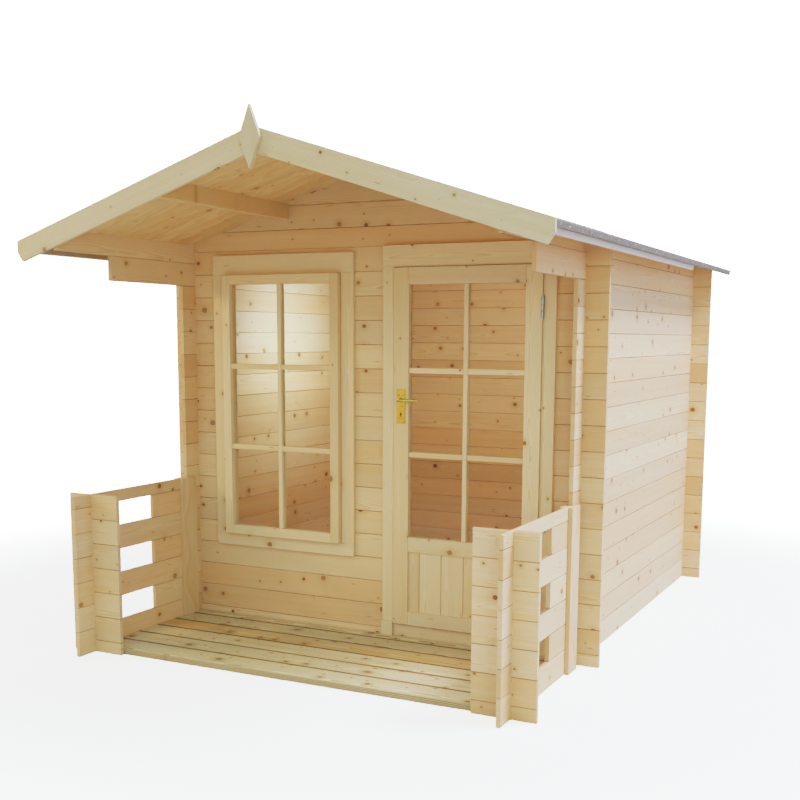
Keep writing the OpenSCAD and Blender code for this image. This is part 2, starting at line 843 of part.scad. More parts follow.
// Spindle with a lever on the leaf's face and a turning knob inside
module lever_handle() {
    outer = door_face - fit - plate_t;
    inner = door_face + door_t + fit + plate_t;
    color(brass) {
        along_y(outer - lever_reach, inner + knob_reach - 4, 0, spindle_r);
        along_y(outer - lever_reach, outer - 1, 0, lever_r + 2);
        translate([handle_x, outer - lever_reach, handle_z]) {
            rotate([0, 90, 0]) cylinder(h = lever_len, r = lever_r);
            sphere(r = lever_r + 2);
            translate([lever_len, 0, 0]) sphere(r = lever_r);
        }
        along_y(inner + 1, inner + knob_reach - 10, 0, lever_r + 2);
        along_y(inner + knob_reach - 18, inner + knob_reach, 0, knob_r);
    }
}

// A cylinder along Y on the spindle's line, dx to its right
module along_y(y0, y1, dx, r) {
    translate([handle_x + dx, y0, handle_z]) rotate([-90, 0, 0]) cylinder(h = y1 - y0, r = r);
}

front_wall_lower();
front_wall_left();
front_wall_middle();
front_wall_right();
front_wall_head();
front_gable();
rear_wall();
rear_gable();
left_wall();
right_wall();
left_eave_logs();
right_eave_logs();
ridge_purlin();
side_purlins();
left_roof_boards();
right_roof_boards();
left_roof_felt();
right_roof_felt();
barge_boards();
eave_boards();
ridge_diamond();
floor_boards();
floor_bearers();
porch_deck();
left_rail_logs();
left_rail_cross_logs();
right_rail_logs();
right_rail_cross_logs();
rail_battens();
window_frame();
window_boards();
window_sash();
window_bars();
window_glass();
door_frame();
door_boards();
door_threshold();
hinge_pins();
door_leaf();
door_bars();
door_panel();
door_glass();
hinge_knuckles();
lock_plates();
lever_handle();
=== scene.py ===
"""Looks of the log cabin: procedural timber, felt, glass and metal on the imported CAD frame, with the
roof boards, floor boards, felt, nails and handle built here. Metres, in the frame's axes."""

import math
import random

import bmesh
import bpy
from mathutils import Matrix, Vector, noise


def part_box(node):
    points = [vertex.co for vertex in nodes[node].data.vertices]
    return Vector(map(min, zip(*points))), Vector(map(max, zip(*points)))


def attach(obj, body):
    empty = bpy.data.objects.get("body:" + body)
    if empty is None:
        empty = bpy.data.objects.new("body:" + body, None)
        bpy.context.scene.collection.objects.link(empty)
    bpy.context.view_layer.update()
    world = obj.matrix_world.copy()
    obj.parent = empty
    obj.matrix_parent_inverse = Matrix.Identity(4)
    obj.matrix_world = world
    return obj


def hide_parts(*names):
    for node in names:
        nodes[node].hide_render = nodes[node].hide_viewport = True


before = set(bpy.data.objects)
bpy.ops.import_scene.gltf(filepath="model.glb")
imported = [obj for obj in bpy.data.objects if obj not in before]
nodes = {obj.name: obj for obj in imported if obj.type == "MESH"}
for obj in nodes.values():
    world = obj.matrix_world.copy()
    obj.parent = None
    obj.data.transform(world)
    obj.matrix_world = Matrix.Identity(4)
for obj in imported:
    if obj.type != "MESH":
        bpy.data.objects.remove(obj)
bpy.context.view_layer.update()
scene = bpy.context.scene

# ---- Camera, where a fit to the photo's straight edges puts it ----

lens = bpy.data.cameras.new("camera")
lens.sensor_width = 36.0
lens.lens = 50.02
lens.shift_x, lens.shift_y = -0.0155, 0.1187
lens.clip_start, lens.clip_end = 0.05, 200.0
camera = bpy.data.objects.new("camera", lens)
scene.collection.objects.link(camera)
right = Vector((0.8978, 0.44036, 0.00552)).normalized()
ahead = Vector((-0.4353, 0.88925, -0.14055)).normalized()
up = right.cross(ahead).normalized()
right = ahead.cross(up).normalized()
turn = Matrix((right, up, -ahead)).transposed().to_4x4()
camera.matrix_world = Matrix.Translation((2.513, -5.315, 1.4614)) @ turn
scene.camera = camera
scene.view_settings.view_transform = "Standard"
scene.view_settings.look = "None"

# A camera's response: straight up to the middle tones, then a long shoulder, and white far above it
scene.view_settings.use_curve_mapping = True
response = scene.view_settings.curve_mapping
response.clip_max_x = 8.0
curve = response.curves[3]
curve.points[1].location = (6.0, 1.0)
for x, y in ((0.35, 0.35), (0.6, 0.54), (0.9, 0.665), (1.4, 0.755), (2.0, 0.80), (3.0, 0.87)):
    curve.points.new(x, y)
# The channels differ a little in the middle tones
for channel, rows in ((0, ((0.25, 0.266), (0.385, 0.415), (0.54, 0.54))), (1, ((0.385, 0.39), (0.54, 0.53))),
                      (2, ((0.25, 0.25), (0.385, 0.42), (0.54, 0.59), (0.665, 0.68)))):
    for x, y in rows:
        response.curves[channel].points.new(x, y)
for each in response.curves:
    for point in each.points:
        point.handle_type = "AUTO_CLAMPED"
response.update()

# ---- Shader building ----


def srgb(r, g, b):
    """A colour given in 0-255 sRGB, as linear RGBA."""
    def lin(c):
        c /= 255
        return c / 12.92 if c <= 0.04045 else ((c + 0.055) / 1.055) ** 2.4
    return (lin(r), lin(g), lin(b), 1.0)


class Net:
    """Short calls that add nodes to a tree. An argument is a number or another node's output."""

    def __init__(self, tree):
        self.tree = tree

    def node(self, kind, **settings):
        made = self.tree.nodes.new("ShaderNode" + kind)
        for key, value in settings.items():
            setattr(made, key, value)
        return made

    def put(self, socket, value):
        if isinstance(value, bpy.types.NodeSocket):
            self.tree.links.new(value, socket)
        elif value is not None:
            socket.default_value = value

    def math(self, op, a, b=None, c=None, clamp=False):
        made = self.node("Math", operation=op, use_clamp=clamp)
        for socket, value in zip(made.inputs, (a, b, c)):
            self.put(socket, value)
        return made.outputs[0]

    def mul(self, a, b, clamp=False):
        return self.math("MULTIPLY", a, b, clamp=clamp)

    def add(self, a, b):
        return self.math("ADD", a, b)

    def sub(self, a, b):
        return self.math("SUBTRACT", a, b)

    def step(self, value, low, high, out_low=0.0, out_high=1.0):
        """A smooth ramp of value from low to high."""
        made = self.node("MapRange", interpolation_type="SMOOTHSTEP")
        for key, v in zip(("Value", "From Min", "From Max", "To Min", "To Max"),
                          (value, low, high, out_low, out_high)):
            self.put(made.inputs[key], v)
        return made.outputs[0]

    def scale(self, value, low, high):
        """Maps 0-1 to low-high."""
        return self.math("MULTIPLY_ADD", value, high - low, low)

    def vec(self, x, y, z):
        made = self.node("CombineXYZ")
        for socket, value in zip(made.inputs, (x, y, z)):
            self.put(socket, value)
        return made.outputs[0]

    def split(self, vector):
        made = self.node("SeparateXYZ")
        self.put(made.inputs[0], vector)
        return made.outputs

    def noise(self, vector, scale=1.0, detail=2.0, roughness=0.5):
        made = self.node("TexNoise", noise_dimensions="3D")
        for key, v in (("Vector", vector), ("Scale", scale), ("Detail", detail), ("Roughness", roughness)):
            self.put(made.inputs[key], v)
        return made.outputs["Fac"]

    def white(self, vector):
        made = self.node("TexWhiteNoise", noise_dimensions="3D")
        self.put(made.inputs["Vector"], vector)
        return made.outputs["Color"]

    def mix(self, factor, a, b, blend="MIX"):
        made = self.node("Mix", data_type="RGBA", blend_type=blend, clamp_factor=True)
        self.put(made.inputs[0], factor)
        self.put(made.inputs[6], a)
        self.put(made.inputs[7], b)
        return made.outputs[2]

    def choose(self, factor, a, b):
        made = self.node("Mix", data_type="FLOAT")
        self.put(made.inputs[0], factor)
        self.put(made.inputs[2], a)
        self.put(made.inputs[3], b)
        return made.outputs[0]

    def cells(self, vector, scale, dimensions="2D"):
        """Distance to the nearest cell's point, and the cell's own random colour."""
        made = self.node("TexVoronoi", voronoi_dimensions=dimensions, feature="F1")
        self.put(made.inputs["Vector"], vector)
        self.put(made.inputs["Scale"], scale)
        return made.outputs["Distance"], made.outputs["Color"]

    def bump(self, skin, height, strength, distance):
        """Small relief on a shader."""
        made = self.node("Bump")
        made.inputs["Strength"].default_value = strength
        made.inputs["Distance"].default_value = distance
        self.put(made.inputs["Height"], height)
        self.put(skin.inputs["Normal"], made.outputs[0])

    def blend(self, factor, first, second):
        """One shader where factor is 0, the other where it is 1."""
        made = self.node("MixShader")
        for socket, value in zip(made.inputs, (factor, first.outputs[0], second.outputs[0])):
            self.put(socket, value)
        return made

    def finish(self, kind, shader):
        self.put(self.node("Output" + kind).inputs["Surface"], shader.outputs[0])


# ---- Light ----


def lamp(name, place, target, size, watts, colour, spread=180.0):
    """A soft square lamp that the camera doesn't see."""
    data = bpy.data.lights.new(name, "AREA")
    data.shape, data.size, data.energy, data.color = "SQUARE", size, watts, colour
    data.spread = math.radians(spread)
    ob = bpy.data.objects.new(name, data)
    scene.collection.objects.link(ob)
    ob.location = place
    ob.rotation_euler = (Vector(target) - Vector(place)).to_track_quat("-Z", "Y").to_euler()
    ob.visible_camera = False


# Daylight from high on the right, weak lamps in front, at the left, right and rear, and two indoors
lamp("key", (4.6, 0.6, 7.4), (0.9, 0.2, 1.0), 2.4, 960, (0.67, 0.73, 1.0))
lamp("low", (6.0, -7.0, 2.5), (0.3, -1.0, 0.9), 2.5, 95, (0.90, 1.0, 0.78))
lamp("fill", (-2.6, -8.0, 2.0), (0, 0, 1.0), 4.0, 40, (1.0, 0.42, 0.06))
lamp("left", (-4.7, -3.45, 2.9), (-0.6, -0.8, 0.5), 0.6, 75, (1.0, 0.64, 0.32))
lamp("cool", (8.0, 0.8, 2.0), (0.9, 0.0, 0.9), 2.0, 200, (0.20, 0.30, 1.0))
lamp("rear", (-5.0, 6.5, 4.0), (0, 0, 1.0), 4.0, 60, (1.0, 0.90, 0.75))
lamp("indoor_side", (-0.15, 0.15, 1.55), (-1.02, 0.20, 1.42), 0.35, 7, (0.57, 0.76, 0.94), 90.0)
lamp("indoor_rear", (0.3, -0.05, 1.78), (0.1, 1.4, 0.9), 0.4, 13, (0.94, 0.97, 0.98))

world = bpy.data.worlds.new("studio")
scene.world = world
world.use_nodes = True
world.node_tree.nodes.clear()
n = Net(world.node_tree)
height = n.split(n.node("TexCoord").outputs["Generated"])[2]
dome = n.node("Background")
n.put(dome.inputs["Color"], n.mix(n.step(height, -0.30, 0.30), (0.32, 0.21, 0.01, 1), (0.82, 1.16, 1.33, 1)))
seen = n.node("Background")
seen.inputs["Color"].default_value = (1, 1, 1, 1)
seen.inputs["Strength"].default_value = 12.0
n.finish("World", n.blend(n.node("LightPath").outputs["Is Camera Ray"], dome, seen))


# ---- Timber ----


def timber_group():
    """The wood of one board, as a solid pattern: growth rings round a pith, knots through the board, fibres,
    streaks, resin and a tone of its own. Along, Across and Depth are metres; Board numbers the boards."""
    tree = bpy.data.node_groups.new("timber", "ShaderNodeTree")
    n = Net(tree)
    face = tree.interface
    for key, kind in (("Along", "Float"), ("Across", "Float"), ("Depth", "Float"), ("Board", "Float"),
                      ("End", "Float"), ("Pale", "Color"), ("Late", "Color"), ("Heart", "Color"),
                      ("Knot", "Color"), ("Knots", "Float"), ("Grain", "Float"), ("Spread", "Float"),
                      ("JointAndShade", "Float")):
        face.new_socket(name=key, in_out="INPUT", socket_type="NodeSocket" + kind)
    for key, kind in (("Color", "Color"), ("Roughness", "Float"), ("Height", "Float")):
        face.new_socket(name=key, in_out="OUTPUT", socket_type="NodeSocket" + kind)
    given = tree.nodes.new("NodeGroupInput").outputs
    result = tree.nodes.new("NodeGroupOutput").inputs
    along, across, depth, board = (given[k] for k in ("Along", "Across", "Depth", "Board"))

    # Numbers of its own for each board
    r1, r2, r3 = n.split(n.white(n.vec(board, 3.7, 1.3)))
    r4, r5, r6 = n.split(n.white(n.vec(board, 9.1, 5.9)))
    u = n.math("MULTIPLY_ADD", r1, 41.0, along)
    v = n.math("MULTIPLY_ADD", r2, 7.0, across)

    # Knots: cells on the board's face, some of which hold one; none show on end grain
    cell = 0.118
    away, own = n.cells(n.vec(n.mul(u, 0.86), v, 0.0), 1.0 / cell)
    away = n.mul(away, cell)
    k1, k2, k3 = n.split(own)
    has = n.mul(n.math("LESS_THAN", k1, given["Knots"]), n.math("LESS_THAN", given["End"], 0.5))
    size = n.math("MULTIPLY_ADD", n.math("POWER", k2, 2.6), 0.0092, 0.0026)
    size = n.mul(size, has)
    ragged = n.noise(n.vec(u, v, 0.0), 160.0, 2.0)
    off = n.add(away, n.mul(n.sub(ragged, 0.5), 0.004))
    share = n.math("DIVIDE", off, n.math("MAXIMUM", size, 0.0001))
    knot = n.mul(n.step(share, 1.12, 0.82), has)
    rim = n.mul(n.mul(n.step(share, 1.35, 1.0), n.step(share, 0.55, 0.95)), has)
    halo = n.mul(n.step(share, 4.6, 0.9), has)

    # Growth rings, cut at the depth of this board and bent round its knots
    slow = n.noise(n.vec(n.mul(u, 0.75), n.mul(board, 3.1), 0.0), 1.0, 2.0)
    quick = n.noise(n.vec(n.mul(u, 3.5), n.mul(v, 9.0), board), 1.0, 2.0)
    bend = n.math("MULTIPLY_ADD", n.sub(slow, 0.5), 0.085,
                  n.mul(n.sub(quick, 0.5), 0.012))
    side = n.add(n.sub(across, n.scale(r3, -0.02, 0.13)), bend)
    deep = n.add(n.add(depth, n.scale(r4, 0.004, 0.075)), n.mul(bend, 0.6))
    radius = n.math("SQRT", n.add(n.mul(side, side), n.mul(deep, deep)))
    radius = n.math("MULTIPLY_ADD", halo, 0.0045, radius)
    rings = n.math("DIVIDE", radius, n.scale(r5, 0.0026, 0.0046))
    late = n.math("POWER", n.math("FRACT", rings), 2.6)
    strength = n.scale(n.noise(n.vec(n.mul(u, 1.3), n.mul(v, 18.0), board), 1.0, 2.0),
                       0.15, 1.05)
    late = n.mul(late, strength)

    # Fibres, broad streaks, pores
    fibre = n.noise(n.vec(n.mul(u, 14.0), n.mul(v, 520.0),
                          n.mul(depth, 520.0)), 1.0, 3.0, 0.6)
    streak = n.noise(n.vec(n.mul(u, 0.9), n.mul(v, 30.0), board), 1.0, 3.0, 0.55)
    cloud = n.noise(n.vec(n.mul(u, 2.2), n.mul(v, 5.0), board), 1.0, 3.0)

    # Resin streaks: short, thin, rare
    centre, own = n.cells(n.vec(n.mul(u, 4.0), n.mul(v, 42.0), 0.0), 1.0)
    drop = n.mul(n.step(centre, 0.085, 0.03), n.math("LESS_THAN", n.split(own)[0], 0.055))

    tone = n.mix(n.mul(late, given["Grain"]), given["Pale"], given["Late"])
    warm = n.add(n.mul(n.sub(r6, 0.5), 0.55),
                  n.add(n.mul(streak, 0.6), n.mul(cloud, 0.5)))
    warm = n.mul(n.step(warm, 0.38, 0.88), n.mul(given["Spread"], 1.5), clamp=True)
    tone = n.mix(warm, tone, given["Heart"])
    tone = n.mix(n.mul(halo, 0.46), tone, given["Late"])
    tone = n.mix(n.mul(drop, 0.7), tone, given["Knot"])
    inside = n.mix(n.step(share, 0.0, 0.8), given["Knot"], given["Late"])
    inside = n.mix(n.scale(k3, 0.35, 0.95), inside, given["Knot"])
    tone = n.mix(n.mul(knot, n.scale(k3, 0.72, 0.96)), tone, inside)
    tone = n.mix(n.mul(rim, 0.55), tone, given["Knot"], "MULTIPLY")
    light = n.add(n.scale(fibre, 0.86, 1.13), n.mul(n.sub(cloud, 0.5), 0.16))
    light = n.mul(light, n.math("MULTIPLY_ADD", n.sub(r1, 0.5), n.mul(given["Spread"], 0.24), 1.0))
    light = n.mul(light, n.sub(1.0, n.mul(given["End"], 0.10)))
    grey = n.node("CombineColor")
    for socket in grey.inputs:
        n.put(socket, light)
    tone = n.mix(1.0, tone, grey.outputs[0], "MULTIPLY")
    # The joint colour darkens the joints, and also the boards' narrow faces where a way has dark: painted shade
    n.put(result["Color"], n.mix(given["JointAndShade"], tone, (0.34, 0.22, 0.13, 1), "MULTIPLY"))

    rough = n.scale(fibre, 0.50, 0.72)
    rough = n.sub(rough, n.mul(knot, 0.16))
    rough = n.add(rough, n.mul(given["End"], 0.14))
    n.put(result["Roughness"], rough)
    high = n.add(n.mul(late, 0.35), n.mul(fibre, 0.55))
    high = n.add(high, n.mul(knot, 0.5))
    n.put(result["Height"], high)
    return tree


TIMBER = timber_group()

PALETTES = {
    # pale early wood, late wood, heart streaks, knots
    "pine": (srgb(226, 191, 142), srgb(200, 148, 90), srgb(213, 163, 106), srgb(124, 66, 28)),
    "roof": (srgb(223, 184, 124), srgb(199, 145, 79), srgb(211, 162, 96), srgb(108, 58, 24)),
    "joinery": (srgb(228, 199, 153), srgb(206, 161, 103), srgb(217, 178, 123), srgb(120, 66, 28)),
    "pale": (srgb(213, 192, 153), srgb(188, 160, 112), srgb(200, 172, 126), srgb(118, 70, 34)),
    "treated": (srgb(220, 205, 154), srgb(158, 108, 44), srgb(194, 148, 74), srgb(110, 54, 16)),
    "batten": (srgb(217, 184, 137), srgb(192, 143, 87), srgb(205, 158, 102), srgb(120, 64, 28)),
    # Eave boards: the pale boards' colours made greyer and darker, as painted shade and cool light
    "eave": (srgb(188, 171, 146), srgb(168, 146, 116), srgb(176, 155, 126), srgb(110, 72, 44)),
}


def way(along, across, start=0.0, pitch=None, cuts=(), deep=0.0, tilt=None, line=(0.0021, 0.0008), dark=0.0):
    """How boards lie: they run along one axis and side by side along another, pitch apart from start. Each
    cut (position, shift) begins another board past position, and moves it back by shift. deep is the place
    of the boards' face. tilt turns X and Z to follow a roof slope of that angle, on both sides alike. line is
    how near a joint the wood darkens, and dark is how much more than usual it does so. With dark, the boards'
    narrow faces are darker too, as painted shade."""
    return dict(along=along, across=across, start=start, pitch=pitch, cuts=cuts, deep=deep, tilt=tilt, line=line,
                dark=dark)


def blank(name):
    """A new material without nodes, and its tree."""
    made = bpy.data.materials.new(name)
    made.use_nodes = True
    made.node_tree.nodes.clear()
    return made, Net(made.node_tree)


def timber(name, palette, seed, first, second=None, where=None, knots=0.56, contrast=0.9, spread=0.5):
    """A material for boards that lie as first says. With second, they lie that way where (axis, middle, half)
    holds: within half of middle, or outside it if half is negative."""
    made, n = blank(name)
    spot = n.node("TexCoord")
    place = dict(zip("XYZ", n.split(spot.outputs["Object"])))
    normal = dict(zip("XYZ", n.split(spot.outputs["Normal"])))

    def lie(w, number):
        """Along, across, depth, end grain and board number for one way."""
        at, facing, board = dict(place), dict(normal), number
        if w["tilt"] is not None:
            side = n.math("SIGN", place["X"])
            co, si = math.cos(w["tilt"]), math.sin(w["tilt"])
            for table in (at, facing):
                x, z = n.mul(table["X"], side), table["Z"]
                table["X"] = n.math("MULTIPLY_ADD", x, co, n.mul(z, -si))
                table["Z"] = n.math("MULTIPLY_ADD", x, si, n.mul(z, co))
            board = n.math("MULTIPLY_ADD", side, 3.0, board)
        third = ({"X", "Y", "Z"} - {w["along"], w["across"]}).pop()
        c = n.sub(at[w["across"]], w["start"])
        for k, (position, shift) in enumerate(w["cuts"]):
            past = n.math("GREATER_THAN", at[w["across"]], position)
            c = n.sub(c, n.mul(past, shift))
            board = n.math("MULTIPLY_ADD", past, 5.0 + 2.0 * k, board)
        if w["pitch"]:
            row = n.math("FLOOR", n.math("DIVIDE", c, w["pitch"]))
            c = n.sub(c, n.mul(row, w["pitch"]))
            board = n.add(row, board)
        end = n.math("ABSOLUTE", facing[w["along"]])
        joint = 0.0
        if w["pitch"]:
            edge = n.math("MINIMUM", c, n.sub(w["pitch"], c))
            open_by = n.noise(n.vec(n.mul(at[w["along"]], 0.9), n.mul(at[w["across"]], 3.0),
                                    board), 1.0, 1.0)
            joint = n.mul(n.step(edge, *w["line"]),
                           n.step(open_by, 0.30, 0.66, 0.30 + w["dark"], min(1.0, 0.95 + w["dark"])))
            inner = n.math("GREATER_THAN", n.sub(at[w["across"]], w["start"]), w["pitch"] / 2)
            joint = n.mul(joint, inner)
            # Painted shade: with dark, faces turned along the boards' width take the joint darkening as well
            if w["dark"]:
                joint = n.math("MAXIMUM", joint, n.mul(n.math("ABSOLUTE", facing[w["across"]]), 0.5))
        depth = n.math("ABSOLUTE", n.sub(at[third], w["deep"]))
        return at[w["along"]], c, depth, end, board, joint

    found = lie(first, seed)
    if second:
        axis, middle, half = where
        inside = n.math("LESS_THAN", n.math("ABSOLUTE", n.sub(place[axis], middle)), abs(half))
        if half < 0:
            inside = n.sub(1.0, inside)
        found = [n.choose(inside, p, q) for p, q in zip(found, lie(second, seed + 17.0))]
    grown = n.node("Group", node_tree=TIMBER)
    pale, late, heart, knot = PALETTES[palette]
    a, c, d, end, board, joint = found
    for key, v in (("Along", a), ("Across", c), ("Depth", d), ("Board", board), ("End", end), ("Pale", pale),
                   ("Late", late), ("Heart", heart), ("Knot", knot), ("Knots", knots), ("Grain", contrast),
                   ("Spread", spread), ("JointAndShade", joint)):
        n.put(grown.inputs[key], v)
    skin = n.node("BsdfPrincipled")
    n.put(skin.inputs["Base Color"], grown.outputs["Color"])
    n.put(skin.inputs["Roughness"], grown.outputs["Roughness"])
    skin.inputs["Specular IOR Level"].default_value = 0.5
    n.bump(skin, grown.outputs["Height"], 0.28, 0.0006)
    n.finish("Material", skin)
    return made


def wear(node, material):
    """Gives a CAD node one material."""
    ob = nodes[node]
    for slot in ob.material_slots:
        slot.material = material
    if not ob.material_slots:
        ob.data.materials.append(material)


def wood(node, *layout, **looks):
    """Gives a CAD node timber of its own."""
    wear(node, timber(node, *layout, **looks))


def metal(name, colour, worn, roughness, grain):
    """Metal with faint brush lines, dull patches and small spots."""
    made, n = blank(name)
    skin = n.node("BsdfPrincipled")
    spot = n.node("TexCoord").outputs["Object"]
    x, y, z = n.split(spot)
    patch = n.noise(spot, 55.0, 4.0, 0.6)
    speck = n.noise(spot, 900.0, 2.0, 0.6)
    brush = n.noise(n.vec(n.mul(x, 2600.0), n.mul(y, 2600.0), n.mul(z, 60.0)),
                    1.0, 2.0)
    dull = n.math("MAXIMUM", n.step(patch, 0.50, 0.74), n.step(speck, 0.66, 0.80))
    n.put(skin.inputs["Base Color"], n.mix(n.mul(dull, 0.75), colour, worn))
    n.put(skin.inputs["Roughness"], n.add(n.scale(brush, roughness * 0.75, roughness * 1.2),
                                           n.mul(dull, 0.14)))
    skin.inputs["Metallic"].default_value = 1.0
    n.bump(skin, n.math("MULTIPLY_ADD", brush, 0.6, n.mul(speck, 0.6)), grain, 0.00008)
    n.finish("Material", skin)
    return made


# ---- Sizes, from the CAD boxes ----

LOG = 0.114         # one course of logs
HALF = LOG / 2
GABLE_LOG = 0.092   # the lowest log of a gable
TOP_BOARD = 0.095   # the boards over the window and the door
wall_lo, wall_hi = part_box("front_wall_lower")
left_lo, left_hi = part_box("left_wall")
rear_lo, rear_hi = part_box("rear_wall")
FRONT_Y, WALL_BACK = wall_lo.y, wall_hi.y
REAR_Y = rear_hi.y
SIDE_X = -left_lo.x
INNER_X = -left_hi.x
boards_lo, boards_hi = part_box("right_roof_boards")
ROOF_Y0, ROOF_Y1 = boards_lo.y, boards_hi.y
ROOF_T = 0.016
PITCH = math.radians(17.8)
CO, SI = math.cos(PITCH), math.sin(PITCH)
ROOF_BOARDS, FLOOR_BOARDS = 36, 22
ROOF_BOARD = (ROOF_Y1 - ROOF_Y0) / ROOF_BOARDS
DECK_PITCH = 0.141

# ---- Timber of the CAD nodes ----

across_front = way("X", "Z", start=-HALF, pitch=LOG, deep=FRONT_Y)
across_rear = way("X", "Z", start=-HALF, pitch=LOG, deep=REAR_Y)
gable_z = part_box("front_gable")[0].z + GABLE_LOG - LOG
for seed, node in enumerate(("front_wall_lower", "front_wall_left", "front_wall_middle", "front_wall_right",
                             "front_wall_head")):
    wood(node, "pine", 100 + 31 * seed, across_front)
wood("rear_wall", "pine", 300, across_rear)
for node, y in (("front_gable", FRONT_Y), ("rear_gable", REAR_Y)):
    wood(node, "pine", 340 + y, way("X", "Z", start=gable_z, pitch=LOG, deep=y))
for seed, (node, x) in enumerate((("left_wall", -SIDE_X), ("right_wall", SIDE_X), ("left_eave_logs", -SIDE_X),
                                  ("right_eave_logs", SIDE_X), ("left_rail_logs", -SIDE_X),
                                  ("right_rail_logs", SIDE_X))):
    wood(node, "pine", 400 + 37 * seed, way("Y", "Z", pitch=LOG, deep=x))
rail_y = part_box("left_rail_cross_logs")[0].y
for seed, node in enumerate(("left_rail_cross_logs", "right_rail_cross_logs")):
    wood(node, "pine", 700 + 29 * seed, way("X", "Z", start=-HALF, pitch=LOG, deep=rail_y))

wood("ridge_purlin", "roof", 800, way("Y", "Z", start=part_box("ridge_purlin")[0].z))
wood("side_purlins", "roof", 810, way("Y", "X", start=-0.5, cuts=((0.0, 0.95),)))
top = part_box("barge_boards")[1]
wood("barge_boards", "pale", 820, way("X", "Z", start=top.z * CO - 0.1, deep=top.y, tilt=PITCH),
     knots=0.42, contrast=0.4)
wood("eave_boards", "eave", 830, way("Y", "Z", start=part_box("eave_boards")[0].z), contrast=0.4)
wood("ridge_diamond", "pale", 840, way("Z", "X", start=-0.05, deep=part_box("ridge_diamond")[0].y), knots=0.0,
     contrast=0.4)
deck_lo, deck_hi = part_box("porch_deck")
# On the deck, dark also paints shade on the boards' front and back faces
wood("porch_deck", "treated", 850, way("X", "Y", start=deck_lo.y - 0.0015, pitch=DECK_PITCH, deep=deck_hi.z,
                                       line=(0.012, 0.0055), dark=0.6), knots=0.95, contrast=2.0, spread=0.75)
wood("floor_bearers", "treated", 870, way("X", "Y", start=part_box("floor_bearers")[0].y, pitch=0.3))
wood("rail_battens", "batten", 880, way("Z", "Y", start=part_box("rail_battens")[0].y), knots=0.25)

# Window and door
window_lo, window_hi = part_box("window_boards")
window_mid = (window_lo.x + window_hi.x) / 2
clear_z0, clear_z1 = window_lo.z + 0.062, window_hi.z - TOP_BOARD
upright = way("Z", "X", start=window_lo.x, cuts=((window_mid, 0.740),), deep=window_lo.y)
level = way("X", "Z", start=window_lo.z, cuts=((1.1, 1.37),), deep=window_lo.y)
wood("window_boards", "joinery", 900, level, upright, ("Z", (clear_z0 + clear_z1) / 2, (clear_z1 - clear_z0) / 2),
     knots=0.3)


def four_members(node, seed, side):
    """Timber for uprights that run full height at the sides of the node, and level members between them."""
    lo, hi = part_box(node)
    middle = (lo.x + hi.x) / 2
    upright = way("Z", "X", start=lo.x, cuts=((middle, hi.x - lo.x - side),), deep=lo.y)
    level = way("X", "Z", start=lo.z, cuts=(((lo.z + hi.z) / 2, hi.z - lo.z - side),), deep=lo.y)
    wood(node, "joinery", seed, level, upright, ("X", middle, -((hi.x - lo.x) / 2 - side - 0.0002)), knots=0.25)


four_members("window_sash", 920, 0.046)
four_members("window_frame", 940, 0.0137)
four_members("door_frame", 960, 0.0485)
for seed, node in ((980, "window_bars"), (985, "door_bars")):
    lo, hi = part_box(node)
    middle = (lo.x + hi.x) / 2
    wood(node, "joinery", seed, way("X", "Z", start=lo.z, pitch=0.3, deep=lo.y),
         way("Z", "X", start=middle - 0.02, deep=lo.y), ("X", middle, 0.0111), knots=0.15)
leaf_lo, leaf_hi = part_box("door_leaf")
door_mid = (leaf_lo.x + leaf_hi.x) / 2
upright = way("Z", "X", start=leaf_lo.x, cuts=((door_mid, 0.65),), deep=leaf_lo.y)
level = way("X", "Z", start=leaf_lo.z, cuts=((0.3, 0.358), (1.1, 1.2)), deep=leaf_lo.y)
wood("door_leaf", "joinery", 1000, level, upright, ("X", door_mid, -0.2861), knots=0.34)
wood("door_panel", "joinery", 1020,
     way("Z", "X", start=door_mid - 0.342, pitch=0.114, deep=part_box("door_panel")[0].y), knots=0.2)
door_lo, door_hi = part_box("door_boards")
wood("door_boards", "joinery", 1040, way("X", "Z", start=door_hi.z - TOP_BOARD, deep=door_lo.y),
     way("Z", "X", start=door_lo.x, cuts=((door_mid, 0.796),), deep=door_lo.y),
     ("Z", 0.0, door_hi.z - TOP_BOARD - 0.0001), knots=0.3)
wood("door_threshold", "joinery", 1060, way("X", "Z", deep=FRONT_Y))

steel = metal("steel", (0.50, 0.49, 0.48, 1), (0.28, 0.26, 0.24, 1), 0.42, 0.35)
brass = metal("brass", (0.56, 0.47, 0.11, 1), (0.27, 0.21, 0.05, 1), 0.11, 0.20)
for node in ("hinge_pins", "hinge_knuckles"):
    wear(node, steel)
wear("lock_plates", brass)

glass, n = blank("glass")
clear = n.node("BsdfTransparent")
clear.inputs["Color"].default_value = (0.93, 0.96, 0.94, 1)
shine = n.node("BsdfGlossy")
shine.inputs["Roughness"].default_value = 0.03
facing = n.node("LayerWeight")
facing.inputs["Blend"].default_value = 0.5
mirror = n.math("MULTIPLY_ADD", n.math("POWER", facing.outputs["Facing"], 5.0), 0.8, 0.016)
n.finish("Material", n.blend(mirror, clear, shine))
for node in ("window_glass", "door_glass"):
    wear(node, glass)

# ---- Mesh building ----


def piece(name, built, material, body="cabin", replaces=(), smooth=True):
    """Adds what was built to a body as a named piece."""
    mesh = built.mesh(name)
    if smooth:
        mesh.shade_smooth()
    ob = bpy.data.objects.new(name, mesh)
    scene.collection.objects.link(ob)
    mesh.materials.append(material)
    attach(ob, body)
    if replaces:
        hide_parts(*replaces)


def soften(ob, width):
    """Rounds an object's hard edges and leaves its flat faces flat."""
    weld = ob.modifiers.new("weld", "WELD")
    weld.merge_threshold = 0.00002
    round_off = ob.modifiers.new("round", "BEVEL")
    round_off.width, round_off.segments = width, 2
    round_off.limit_method, round_off.angle_limit = "ANGLE", math.radians(30.0)
    round_off.use_clamp_overlap = True
    flat = ob.modifiers.new("flat", "WEIGHTED_NORMAL")
    flat.keep_sharp = False


